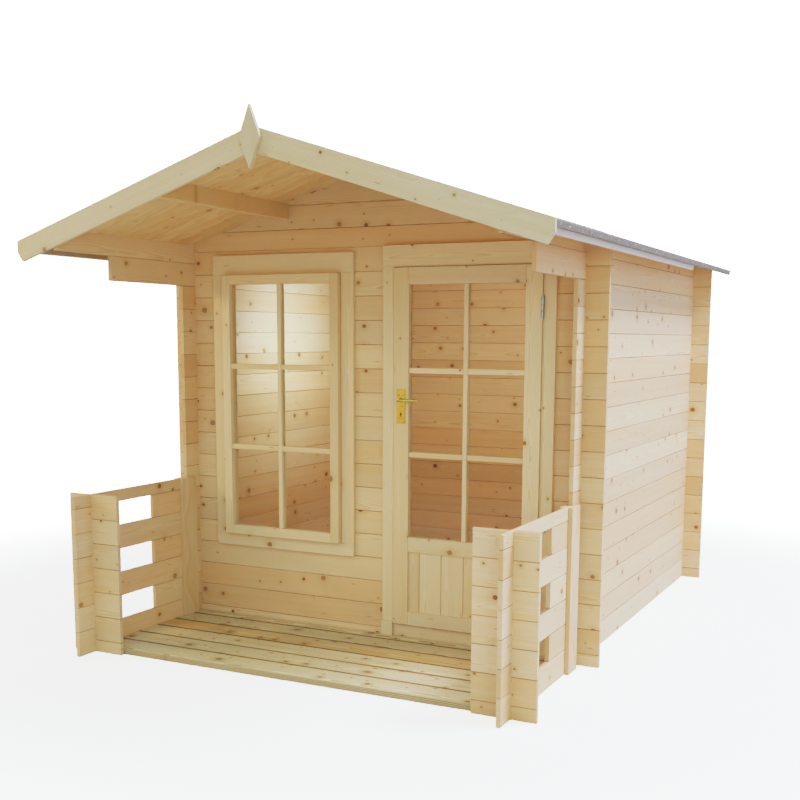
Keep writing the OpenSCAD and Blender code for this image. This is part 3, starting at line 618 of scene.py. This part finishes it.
class Solid:
    """Vertices and faces gathered into one mesh."""

    def __init__(self):
        self.points, self.faces = [], []

    def rings(self, rings, caps=True):
        """Joins closed rings of the same length into a tube."""
        start, size = len(self.points), len(rings[0])
        for ring in rings:
            self.points.extend(ring)
        for a in range(len(rings) - 1):
            for b in range(size):
                i, j = start + a * size, start + (a + 1) * size
                self.faces.append((i + b, i + (b + 1) % size, j + (b + 1) % size, j + b))
        if caps:
            self.faces.append(tuple(start + b for b in reversed(range(size))))
            last = start + (len(rings) - 1) * size
            self.faces.append(tuple(last + b for b in range(size)))

    def sheet(self, top, bottom):
        """A closed sheet between two grids of points with the same rows and columns."""
        rows, cols = len(top), len(top[0])
        start = len(self.points)
        for grid in (top, bottom):
            for row in grid:
                self.points.extend(row)
        low = start + rows * cols

        def at(r, c, base):
            return base + r * cols + c

        for r in range(rows - 1):
            for c in range(cols - 1):
                corners = ((r, c), (r, c + 1), (r + 1, c + 1), (r + 1, c))
                self.faces.append(tuple(at(i, j, start) for i, j in corners))
                self.faces.append(tuple(at(corners[-k][0], corners[-k][1], low) for k in range(4)))
        edge = [(0, c) for c in range(cols)] + [(r, cols - 1) for r in range(1, rows)]
        edge += [(rows - 1, c) for c in range(cols - 2, -1, -1)] + [(r, 0) for r in range(rows - 2, 0, -1)]
        for k, (r, c) in enumerate(edge):
            r2, c2 = edge[(k + 1) % len(edge)]
            self.faces.append((at(r2, c2, start), at(r, c, start), at(r, c, low), at(r2, c2, low)))

    def mesh(self, name):
        """The mesh, with its faces turned outwards."""
        made = bpy.data.meshes.new(name)
        made.from_pydata([tuple(p) for p in self.points], [], self.faces)
        bm = bmesh.new()
        bm.from_mesh(made)
        bmesh.ops.recalc_face_normals(bm, faces=bm.faces)
        bm.to_mesh(made)
        bm.free()
        made.update()
        return made


# ---- Roof boards and floor boards ----

RIDGE_Z = boards_hi.z - ROOF_T / CO
SLOPE = (boards_hi.x - ROOF_T * SI) / CO
def on_slope(side, s, y, n):
    """The point s down the slope from the ridge and n above the roof boards' underside."""
    return Vector((side * (s * CO + n * SI), y, RIDGE_Z - s * SI + n * CO))


roof_way = way("X", "Y", start=ROOF_Y0, pitch=ROOF_BOARD, tilt=PITCH)
roof_wood = timber("roof_boards", "roof", 1100, roof_way)
gap, bevel = 0.0003, 0.0026
for name, side in (("left_roof_planks", -1), ("right_roof_planks", 1)):
    built = Solid()
    for k in range(ROOF_BOARDS):
        y0 = ROOF_Y0 + k * ROOF_BOARD + (gap if k else 0.0)
        y1 = ROOF_Y0 + (k + 1) * ROOF_BOARD - (gap if k < ROOF_BOARDS - 1 else 0.0)
        outline = ((y0 + bevel, 0.0), (y1 - bevel, 0.0), (y1, bevel), (y1, ROOF_T), (y0, ROOF_T), (y0, bevel))
        ends = []
        for far in (False, True):
            ends.append([on_slope(side, SLOPE if far else (0.0002 - n * SI) / CO, y, n) for y, n in outline])
        built.rings(ends)
    piece(name, built, roof_wood, replaces=(name.replace("planks", "boards"),), smooth=False)

low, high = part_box("floor_boards")
built = Solid()
pitch = (high.x - low.x) / FLOOR_BOARDS
bevel = 0.0016
for k in range(FLOOR_BOARDS):
    x0 = low.x + k * pitch + (gap if k else 0.0)
    x1 = low.x + (k + 1) * pitch - (gap if k < FLOOR_BOARDS - 1 else 0.0)
    outline = ((x0, low.z), (x1, low.z), (x1, high.z - bevel), (x1 - bevel, high.z), (x0 + bevel, high.z),
               (x0, high.z - bevel))
    built.rings([[Vector((x, y, z)) for x, z in outline] for y in (low.y, high.y)])
floor_way = way("Y", "X", start=low.x, pitch=pitch, deep=high.z)
piece("floor_planks", built, timber("floor_boards", "pine", 1200, floor_way), replaces=("floor_boards",),
      smooth=False)

# ---- Tongues between the logs ----

LOG_T = wall_hi.y - wall_lo.y
frame_lo, frame_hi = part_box("door_frame")
part_left, part_middle, part_right = (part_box("front_wall_" + part) for part in ("left", "middle", "right"))
openings = ((part_left[1].x - 0.0006, part_middle[0].x + 0.0006, part_left[0].z, part_left[1].z),
            (frame_lo.x - 0.001, frame_hi.x + 0.001, part_right[0].z, part_right[1].z))
built = Solid()


def tongue(axis, lo, hi, outer, inward, z):
    """A strip in the joint at height z of logs that run along axis, in the middle of their thickness."""
    a, b = outer + inward * LOG_T * 0.36, outer + inward * LOG_T * 0.64
    a, b = min(a, b), max(a, b)
    ends = []
    for p in (lo + 0.0012, hi - 0.0012):
        outline = ((a, z - 0.005), (b, z - 0.005), (b, z + 0.005), (a, z + 0.005))
        ends.append([Vector((p, q, h)) if axis == "X" else Vector((q, p, h)) for q, h in outline])
    built.rings(ends)


def joints(first, below):
    """Heights one log apart, from first up to below."""
    return [first + LOG * k for k in range(30) if first + LOG * k < below]


head_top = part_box("front_wall_head")[1].z
gables = ((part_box("front_gable"), FRONT_Y, 1), (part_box("rear_gable"), REAR_Y, -1))
for z in joints(HALF, head_top - 0.02):
    cuts = [(x0, x1) for x0, x1, z0, z1 in openings if z0 - 0.002 < z < z1 + 0.002]
    start = wall_lo.x
    for x0, x1 in cuts:
        tongue("X", start, x0, FRONT_Y, 1, z)
        start = x1
    tongue("X", start, -wall_lo.x, FRONT_Y, 1, z)
for z in joints(HALF, rear_hi.z - 0.02):
    tongue("X", rear_lo.x, rear_hi.x, REAR_Y, -1, z)
for (lo, hi), y, inward in gables:
    for z in [lo.z] + [lo.z + GABLE_LOG + LOG * k for k in range(6)]:
        half = min((RIDGE_Z - z) / math.tan(PITCH) - 0.03, hi.x)
        if half > 0.05:
            tongue("X", -half, half, y, inward, z)
top_lo, top_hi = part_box("right_eave_logs")
for side in (-1, 1):
    for z in joints(LOG, top_hi.z - 0.06):
        under_eave = z >= top_lo.z + 0.01
        start, end = (FRONT_Y - 0.10, top_hi.y) if under_eave else (left_lo.y, left_hi.y)
        tongue("Y", start, end, side * SIDE_X, -side, z)
piece("log_tongues", built, timber("log_tongues", "pine", 1300, way("X", "Z", start=-HALF, pitch=HALF)),
      smooth=False)

# Slips that close the corner logs' ends up to the roof boards
built = Solid()
log_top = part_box("front_gable")[0].z + 0.0002
for side in (-1, 1):
    for y0, y1 in ((FRONT_Y, WALL_BACK), (rear_lo.y, REAR_Y)):
        x0, x1 = SIDE_X + 0.0004, min(rear_hi.x, (RIDGE_Z - log_top) / math.tan(PITCH)) - 0.003
        outline = ((x0, log_top), (x1, log_top), (x1, RIDGE_Z - x1 * math.tan(PITCH) - 0.0006),
                   (x0, RIDGE_Z - x0 * math.tan(PITCH) - 0.0006))
        built.rings([[Vector((side * x, y, z)) for x, z in outline] for y in (y0 + 0.0002, y1 - 0.0002)])
piece("corner_slips", built, timber("corner_slips", "pine", 1320, way("X", "Z", start=log_top - 0.02, pitch=0.2,
                                                                      deep=FRONT_Y)), smooth=False)

# ---- Roofing felt ----

felt, n = blank("felt")
skin = n.node("BsdfPrincipled")
spot = n.node("TexCoord").outputs["Object"]
grain, own = n.cells(spot, 620.0, "3D")
own = n.split(own)[0]
broad = n.noise(spot, 3.0, 4.0, 0.6)
fine = n.noise(spot, 90.0, 3.0, 0.6)
stone = n.mix(n.step(own, 0.1, 0.9), srgb(100, 89, 76), srgb(166, 151, 131))
stone = n.mix(n.step(own, 0.90, 0.93), stone, srgb(190, 178, 158))
stone = n.mix(n.scale(broad, 0.0, 0.55), stone, srgb(116, 103, 88))
stone = n.mix(n.step(fine, 0.56, 0.75, 0.0, 0.35), stone, srgb(94, 85, 74))
n.put(skin.inputs["Base Color"], stone)
n.put(skin.inputs["Roughness"], n.scale(own, 0.82, 0.97))
skin.inputs["Specular IOR Level"].default_value = 0.3
n.bump(skin, n.add(n.sub(1.0, grain), n.mul(fine, 0.8)), 0.55, 0.0007)
n.finish("Material", skin)

felt_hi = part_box("right_roof_felt")[1]
FELT_T = 0.0022
FELT_Y1 = felt_hi.y
FELT_OUT = (felt_hi.x - (ROOF_T + 0.0033) * SI) / CO
TURN = 0.029    # the edges turned down
LAP = 0.47      # the ridge sheet's reach on each slope
WAVE = 0.0009


def waver(s, y):
    """How far slow waves lift laid felt."""
    wave = noise.noise(Vector((s * 2.6, y * 2.2, 3.0))) + 0.5 * noise.noise(Vector((s * 7.0, y * 8.0, 9.0)))
    return WAVE * (0.5 + 0.5 * max(-1.0, min(1.0, wave)))


def steps(a, b, most):
    count = max(1, math.ceil((b - a) / most))
    return [a + (b - a) * k / count for k in range(count + 1)]


def fold(a, b, out_n, drop, radius, most):
    """A profile from a to b at height 0, then round a fold and down by drop, with no step longer than most, or
    than out_n on the way down. Gives (position, height, outward position, outward height) for the upper face
    and its normal."""
    rows = [(p, 0.0, 0.0, 1.0) for p in steps(a, b - radius, most)]
    for k in range(1, 6):
        t = math.pi / 2 * k / 5
        rows.append((b - radius + radius * math.sin(t), -radius + radius * math.cos(t), math.sin(t), math.cos(t)))
    rows += [(b, -z, 1.0, 0.0) for z in steps(radius, drop, out_n)[1:]]
    return rows


# The lower sheet of each slope, folded down over the eave; a flap over the rear edge
ys = steps(ROOF_Y0, FELT_Y1 - FELT_T - 0.0002, 0.03)
for name, side in (("left_felt_sheet", -1), ("right_felt_sheet", 1)):
    built = Solid()
    base = ROOF_T + 0.0003
    top, bottom = [], []
    for p, z, ax, az in fold(LAP - 0.09, FELT_OUT, 0.008, TURN, 0.0045, 0.03):
        a, b = [], []
        for y in ys:
            lift = waver(p, y) * az
            ragged = 0.0012 * noise.noise(Vector((y * 11.0, side * 4.0, 1.0))) if z <= -TURN + 0.001 else 0.0
            n0 = base + FELT_T + z + lift + ragged
            a.append(on_slope(side, p, y, n0))
            b.append(on_slope(side, p - FELT_T * ax, y, n0 - FELT_T * az))
        top.append(a)
        bottom.append(b)
    built.sheet(top, bottom)
    # rear flap, from the ridge to the eave
    for s0, s1, rise in ((0.002, LAP + 0.004, FELT_T), (LAP, FELT_OUT - 0.0002, 0.0)):
        top, bottom = [], []
        rear = FELT_Y1 - 0.0004 * (1 - rise / FELT_T)
        for p, z, ay, az in fold(FELT_Y1 - 0.006, rear, 0.008, TURN, 0.0035, 0.05):
            a, b = [], []
            for s in steps(s0, s1, 0.03):
                ragged = 0.0015 * noise.noise(Vector((s * 9.0, side * 2.0, 6.0))) if z <= -TURN + 0.001 else 0.0
                n0 = base + FELT_T + rise + z + waver(s, p) * az + ragged
                a.append(on_slope(side, s, p, n0))
                b.append(on_slope(side, s, p - FELT_T * ay, n0 - FELT_T * az))
            top.append(a)
            bottom.append(b)
        built.sheet(top, bottom)
    piece(name, built, felt, replaces=(name.replace("felt_sheet", "roof_felt"),))

# The sheet over the ridge, lapped on both lower ones
built = Solid()
top, bottom = [], []
for u in [-v for v in reversed(steps(0.012, LAP, 0.03))] + [0.0] + steps(0.012, LAP, 0.03):
    side, s = (-1 if u < 0 else 1), abs(u)
    a, b = [], []
    for y in ys:
        lift = waver(s, y) + 0.0004 * noise.noise(Vector((s * 30.0, y * 14.0, side * 3.0)))
        n0 = ROOF_T + 0.0004 + 2 * FELT_T + max(0.0, lift)
        if s == 0.0:
            crown = on_slope(1, 0.012, y, n0)
            a.append(Vector((0.0, y, crown.z + 0.0022)))
            b.append(Vector((0.0, y, crown.z + 0.0022 - FELT_T)))
        else:
            a.append(on_slope(side, s, y, n0))
            b.append(on_slope(side, s, y, n0 - FELT_T))
    top.append(a)
    bottom.append(b)
built.sheet(top, bottom)
piece("ridge_felt_sheet", built, felt)

# ---- Nails and screws ----


def nail(built, place, normal, radius, height, sides=10):
    """A domed head with its rim on the surface at place."""
    axis = Vector(normal).normalized()
    a = axis.orthogonal().normalized()
    b = axis.cross(a)
    rings = []
    for out, up in ((1.0, -0.35), (1.0, 0.25), (0.86, 0.7), (0.5, 0.95), (0.12, 1.0)):
        rings.append([place + axis * (height * up) + (a * math.cos(t) + b * math.sin(t)) * (radius * out)
                      for t in (2 * math.pi * k / sides for k in range(sides))])
    built.rings(rings)


def screw(built, place, normal, radius, turn):
    """A countersunk head, level with the wood, with a crossed slot sunk in it."""
    axis = Vector(normal).normalized()
    a = axis.orthogonal().normalized()
    b = axis.cross(a)
    half, deep = 0.16, 0.35
    cross = []
    for k in range(4):
        t = turn + k * math.pi / 2
        ux, uy = math.cos(t), math.sin(t)
        for x, y in ((0.62, -half), (0.62, half), (half, half)):
            cross.append((x * ux - y * uy, x * uy + y * ux))
    rim = []
    for x, y in cross:
        t = math.atan2(y, x)
        rim.append((math.cos(t), math.sin(t)))
    rings = []
    for ring, out, up in ((rim, 1.0, -0.5), (rim, 1.0, 0.0), (rim, 0.93, 0.10), (cross, 1.0, 0.12),
                          (cross, 0.86, -deep)):
        rings.append([place + axis * (radius * 0.5 * up) + (a * x + b * y) * (radius * out) for x, y in ring])
    built.rings(rings)


chance = random.Random(20)


def near_by(spread):
    return chance.uniform(-spread, spread)


# Barge boards, diamond and eave boards
barge_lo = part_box("barge_boards")[0]
built = Solid()
for side in (-1, 1):
    for s in (0.12, 0.37, 0.62, 0.87, 1.12):
        for n in (0.018, -0.036):
            p = on_slope(side, s + near_by(0.008) - 0.012 * (n < 0), barge_lo.y, n + near_by(0.004))
            nail(built, p, (0, -1, 0), 0.0031, 0.0009)
gem_lo, gem_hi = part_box("ridge_diamond")
gem_z = gem_hi.z - 0.124
for dx, dz in ((0.002, 0.052), (-0.003, -0.046), (0.024, 0.004), (-0.025, 0.001)):
    nail(built, Vector((dx, gem_lo.y, gem_z + dz)), (0, -1, 0), 0.0031, 0.0003)
eave_lo, eave_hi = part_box("eave_boards")
for side in (-1, 1):
    for k in range(12):
        y = eave_lo.y + 0.06 + (eave_hi.y - eave_lo.y - 0.12) * k / 11 + near_by(0.01)
        p = on_slope(side, SLOPE + 0.0163, y, ROOF_T - 0.020 - near_by(0.004))
        nail(built, p, (side * CO, 0, -SI), 0.0028, 0.0008)
piece("barge_nails", built, steel)

# Clout nails in the felt
built = Solid()
level = ROOF_T + 0.0004 + 2 * FELT_T
CLOUT, EDGE_CLOUT = (0.0046, 0.0010), (0.0042, 0.0008)
for side in (-1, 1):
    normal = (side * SI, 0, CO)
    for k in range(31):
        y = ROOF_Y0 + 0.05 + (ROOF_Y1 - ROOF_Y0 - 0.10) * k / 30 + near_by(0.012)
        s = LAP - 0.022 + near_by(0.005)
        nail(built, on_slope(side, s, y, level + waver(s, y)), normal, *CLOUT)
    for k in range(26):
        y = ROOF_Y0 + 0.05 + (ROOF_Y1 - ROOF_Y0 - 0.10) * k / 25 + near_by(0.012)
        nail(built, on_slope(side, FELT_OUT, y, ROOF_T - 0.012 + near_by(0.002)), (side * CO, 0, -SI), *EDGE_CLOUT)
    for k in range(9):
        s = 0.08 + (SLOPE - 0.14) * k / 8 + near_by(0.012)
        ridge = FELT_T if s < LAP else 0.0
        n0 = ROOF_T + 0.0003 + FELT_T + ridge
        y = ROOF_Y0 + 0.016
        nail(built, on_slope(side, s, y, n0 + waver(s, y)), normal, *CLOUT)
        nail(built, on_slope(side, s, FELT_Y1 - 0.0012, ROOF_T - 0.012 + near_by(0.002)), (0, 1, 0), *EDGE_CLOUT)
piece("felt_nails", built, steel)

# Screws through the rail battens into each log
built = Solid()
b_lo, b_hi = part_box("rail_battens")
for side in (-1, 1):
    for x, way_out in ((b_hi.x, 1), (INNER_X - (b_hi.x - SIDE_X), -1)):
        for course in range(7):
            z = 0.057 + LOG * course
            if z > b_hi.z - 0.02 or (way_out < 0 and z < 0.05):
                continue
            y = (b_lo.y + b_hi.y) / 2 + (0.018 if course % 2 else -0.018) + near_by(0.003)
            place = Vector((side * x, y, z + near_by(0.006)))
            screw(built, place, (side * way_out, 0, 0), 0.0040, chance.uniform(0, 1.5))
piece("batten_screws", built, steel, smooth=False)

# Screws of the deck boards
built = Solid()
for k in range(6):
    front = deck_lo.y + DECK_PITCH * k
    width = min(DECK_PITCH - 0.003, deck_hi.y - front)
    for x in (-0.965, 0.0, 0.965):
        for part in (0.2, 0.8):
            if width < 0.05 and part > 0.5:
                continue
            place = Vector((x + near_by(0.004), front + width * part + near_by(0.003), deck_hi.z))
            screw(built, place, (0, 0, 1), 0.0038, chance.uniform(0, 1.5))
piece("deck_screws", built, steel, smooth=False)

# Small nails in the boards round the openings
built = Solid()
spots = []
for z in (0.52, 0.86, 1.20, 1.54):
    spots += [(window_lo.x + 0.030, z), (window_hi.x - 0.030, z)]
for z in (0.20, 0.60, 1.02, 1.42, 1.72):
    spots += [(door_lo.x + 0.030, z), (door_hi.x - 0.030, z)]
for x in (0.06, 0.30, 0.54, 0.75):
    spots += [(window_lo.x + x, window_hi.z - 0.030), (window_lo.x + x, window_lo.z + 0.024),
              (door_lo.x + x + 0.02, door_hi.z - 0.030)]
for x, z in spots:
    nail(built, Vector((x + near_by(0.005), window_lo.y, z + near_by(0.008))), (0, -1, 0), 0.0017, 0.0004, 8)
piece("trim_nails", built, steel)

# ---- Door handle ----

lever_lo, lever_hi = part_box("lever_handle")
plate_lo, plate_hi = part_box("lock_plates")
hub_x = (plate_lo.x + plate_hi.x) / 2
hub_z = (lever_lo.z + lever_hi.z) / 2
outer_y, inner_y = plate_lo.y, plate_hi.y


def lathe(built, x, z, profile, sides=28):
    """Turned rings round a line along Y through x and z. The profile is (y, radius)."""
    built.rings([[Vector((x + radius * math.cos(t), y, z + radius * math.sin(t)))
                  for t in (2 * math.pi * k / sides for k in range(sides))] for y, radius in profile])


built = Solid()
# the shaft through the leaf, the neck and the lever outside
lathe(built, hub_x, hub_z, ((outer_y - 0.006, 0.0039), (inner_y + 0.004, 0.0039)), 16)
path = [(0.0, -0.0012, 0.0080, 0.0080), (0.0, -0.004, 0.0078, 0.0078), (0.0, -0.012, 0.0066, 0.0066),
        (0.0, -0.022, 0.0064, 0.0064), (0.0008, -0.030, 0.0066, 0.0068), (0.0036, -0.0365, 0.0068, 0.0074),
        (0.0095, -0.0408, 0.0068, 0.0078), (0.018, -0.0420, 0.0062, 0.0078), (0.030, -0.0418, 0.0056, 0.0076),
        (0.045, -0.0408, 0.0050, 0.0072), (0.060, -0.0400, 0.0046, 0.0066), (0.075, -0.0402, 0.0043, 0.0062),
        (0.088, -0.0412, 0.0042, 0.0061), (0.097, -0.0418, 0.0041, 0.0060), (0.1025, -0.0420, 0.0036, 0.0054),
        (0.1050, -0.0420, 0.0022, 0.0036), (0.1058, -0.0420, 0.0006, 0.0010)]
rings = []
for k, (dx, dy, thick, tall) in enumerate(path):
    before, after = path[max(0, k - 1)], path[min(len(path) - 1, k + 1)]
    run = Vector((after[0] - before[0], after[1] - before[1], 0.0)).normalized()
    across = Vector((-run.y, run.x, 0.0))
    centre = Vector((hub_x + dx, outer_y + dy, hub_z))
    rings.append([centre + across * (thick * math.cos(t)) + Vector((0, 0, tall * math.sin(t)))
                  for t in (2 * math.pi * j / 20 for j in range(20))])
built.rings(rings)
# the turning knob inside
lathe(built, hub_x, hub_z, ((inner_y + 0.0012, 0.0085), (inner_y + 0.004, 0.0078), (inner_y + 0.010, 0.0068),
                            (inner_y + 0.015, 0.0082), (inner_y + 0.018, 0.0122), (inner_y + 0.0215, 0.0138),
                            (inner_y + 0.0265, 0.0136), (inner_y + 0.0300, 0.0116), (inner_y + 0.0316, 0.0078),
                            (inner_y + 0.0320, 0.0020)))
piece("handle_lever_and_knob", built, brass, "handle", ("lever_handle",))

# Collars and screws on the lock plates
built = Solid()
for y, out in ((outer_y, -1), (inner_y, 1)):
    lathe(built, hub_x, hub_z, ((y - out * 0.0004, 0.0122), (y + out * 0.0006, 0.0122), (y + out * 0.0014, 0.0114),
                                (y + out * 0.0018, 0.0100), (y + out * 0.0010, 0.0091), (y - out * 0.0002, 0.0089)))
    for dz in (plate_hi.z - 0.011, plate_lo.z + 0.011):
        screw(built, Vector((hub_x, y, dz)), (0, out, 0), 0.0034, 0.5 + dz)
piece("plate_collars", built, brass, "door")

# Near-black keyhole-shaped plugs at the leaf's faces, seen through each keyhole: painted shade for the hole's depth
# and the lock case inside it
key_z = hub_z - 0.065
built = Solid()
for y, out in ((leaf_lo.y, -1), (leaf_hi.y, 1)):
    a, b = y - out * 0.0010, y + out * 0.0006
    outline = [(0.0048 * math.cos(t), 0.0048 * math.sin(t)) for t in
               (math.radians(-60 + 300 * k / 15) for k in range(16))] + [(-0.0026, -0.0148), (0.0026, -0.0148)]
    built.rings([[Vector((hub_x + x, q, key_z + z)) for x, z in outline] for q in (a, b)])
keyhole_shade = metal("keyhole_shade", (0.035, 0.032, 0.028, 1), (0.10, 0.06, 0.035, 1), 0.5, 0.3)
piece("lock_keyways", built, keyhole_shade, "door", smooth=False)

# Beads in the gap round the door leaf, on the frame's side and clear of the hinges
built = Solid()
pin_lo, pin_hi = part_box("hinge_pins")
leaf_gap = pin_lo.x + pin_hi.x - 2 * leaf_hi.x
bead_back, bead_front = door_hi.y - 0.0004, door_lo.y + 0.0022


def bead(axis, outer, inward, lo, hi):
    """A bead along axis that stands 4 mm in from outer, with its front corner cut."""
    outline = ((0.0, bead_back), (0.0, bead_front), (0.0026, bead_front), (0.0040, bead_front + 0.0014),
               (0.0040, bead_back))
    built.rings([[Vector((outer + inward * p, y, q)) if axis == "Z" else Vector((q, y, outer + inward * p))
                  for p, y in outline] for q in (lo, hi)])


bead_left, bead_right = leaf_lo.x - leaf_gap + 0.0002, leaf_hi.x + leaf_gap - 0.0002
bead_top = leaf_hi.z + leaf_gap - 0.0002
bead("X", bead_top, -1, bead_left, bead_right)
bead("Z", bead_left, 1, leaf_lo.z + 0.004, bead_top - 0.0042)
hinges = (0.225, 0.333, 1.538, 1.646)
heights = (leaf_lo.z + 0.004, *hinges, bead_top - 0.0042)
for k in (0, 2, 4):
    bead("Z", bead_right, -1, heights[k], heights[k + 1])
bead_way = way("Z", "X", start=leaf_lo.x - 0.1, deep=door_lo.y)
piece("door_beads", built, timber("door_beads", "joinery", 1340, bead_way, knots=0.1), smooth=False)

# ---- Rounded edges on the CAD boards ----

ROUNDED = {
    0.0012: ("door_threshold",),
    0.0014: ("door_frame", "window_frame"),
    0.0016: ("window_boards", "door_boards", "barge_boards", "eave_boards", "ridge_diamond", "lock_plates"),
    0.0020: ("door_leaf", "rail_battens", "ridge_purlin", "side_purlins"),
    0.0022: ("window_sash",),
    0.0030: ("window_bars", "door_bars"),
    0.0034: ("porch_deck",),
}
for width, group in ROUNDED.items():
    for node in group:
        soften(nodes[node], width)

# ---- Floor ----

mesh = bpy.data.meshes.new("studio_floor")
mesh.from_pydata([(x, y, -0.001) for x, y in ((-30, -30), (30, -30), (30, 30), (-30, 30))], [], [(0, 1, 2, 3)])
ground = bpy.data.objects.new("studio_floor", mesh)
scene.collection.objects.link(ground)
pale, n = blank("studio_floor")
spot = n.node("TexCoord")
away = n.node("VectorMath", operation="LENGTH")
n.put(away.inputs[0], spot.outputs["Object"])
cover = n.step(away.outputs["Value"], 2.2, 7.0, 0.8, 0.0)
matt = n.node("BsdfDiffuse")
matt.inputs["Color"].default_value = (0.88, 0.88, 0.87, 1)
n.finish("Material", n.blend(cover, n.node("BsdfTransparent"), matt))
mesh.materials.append(pale)
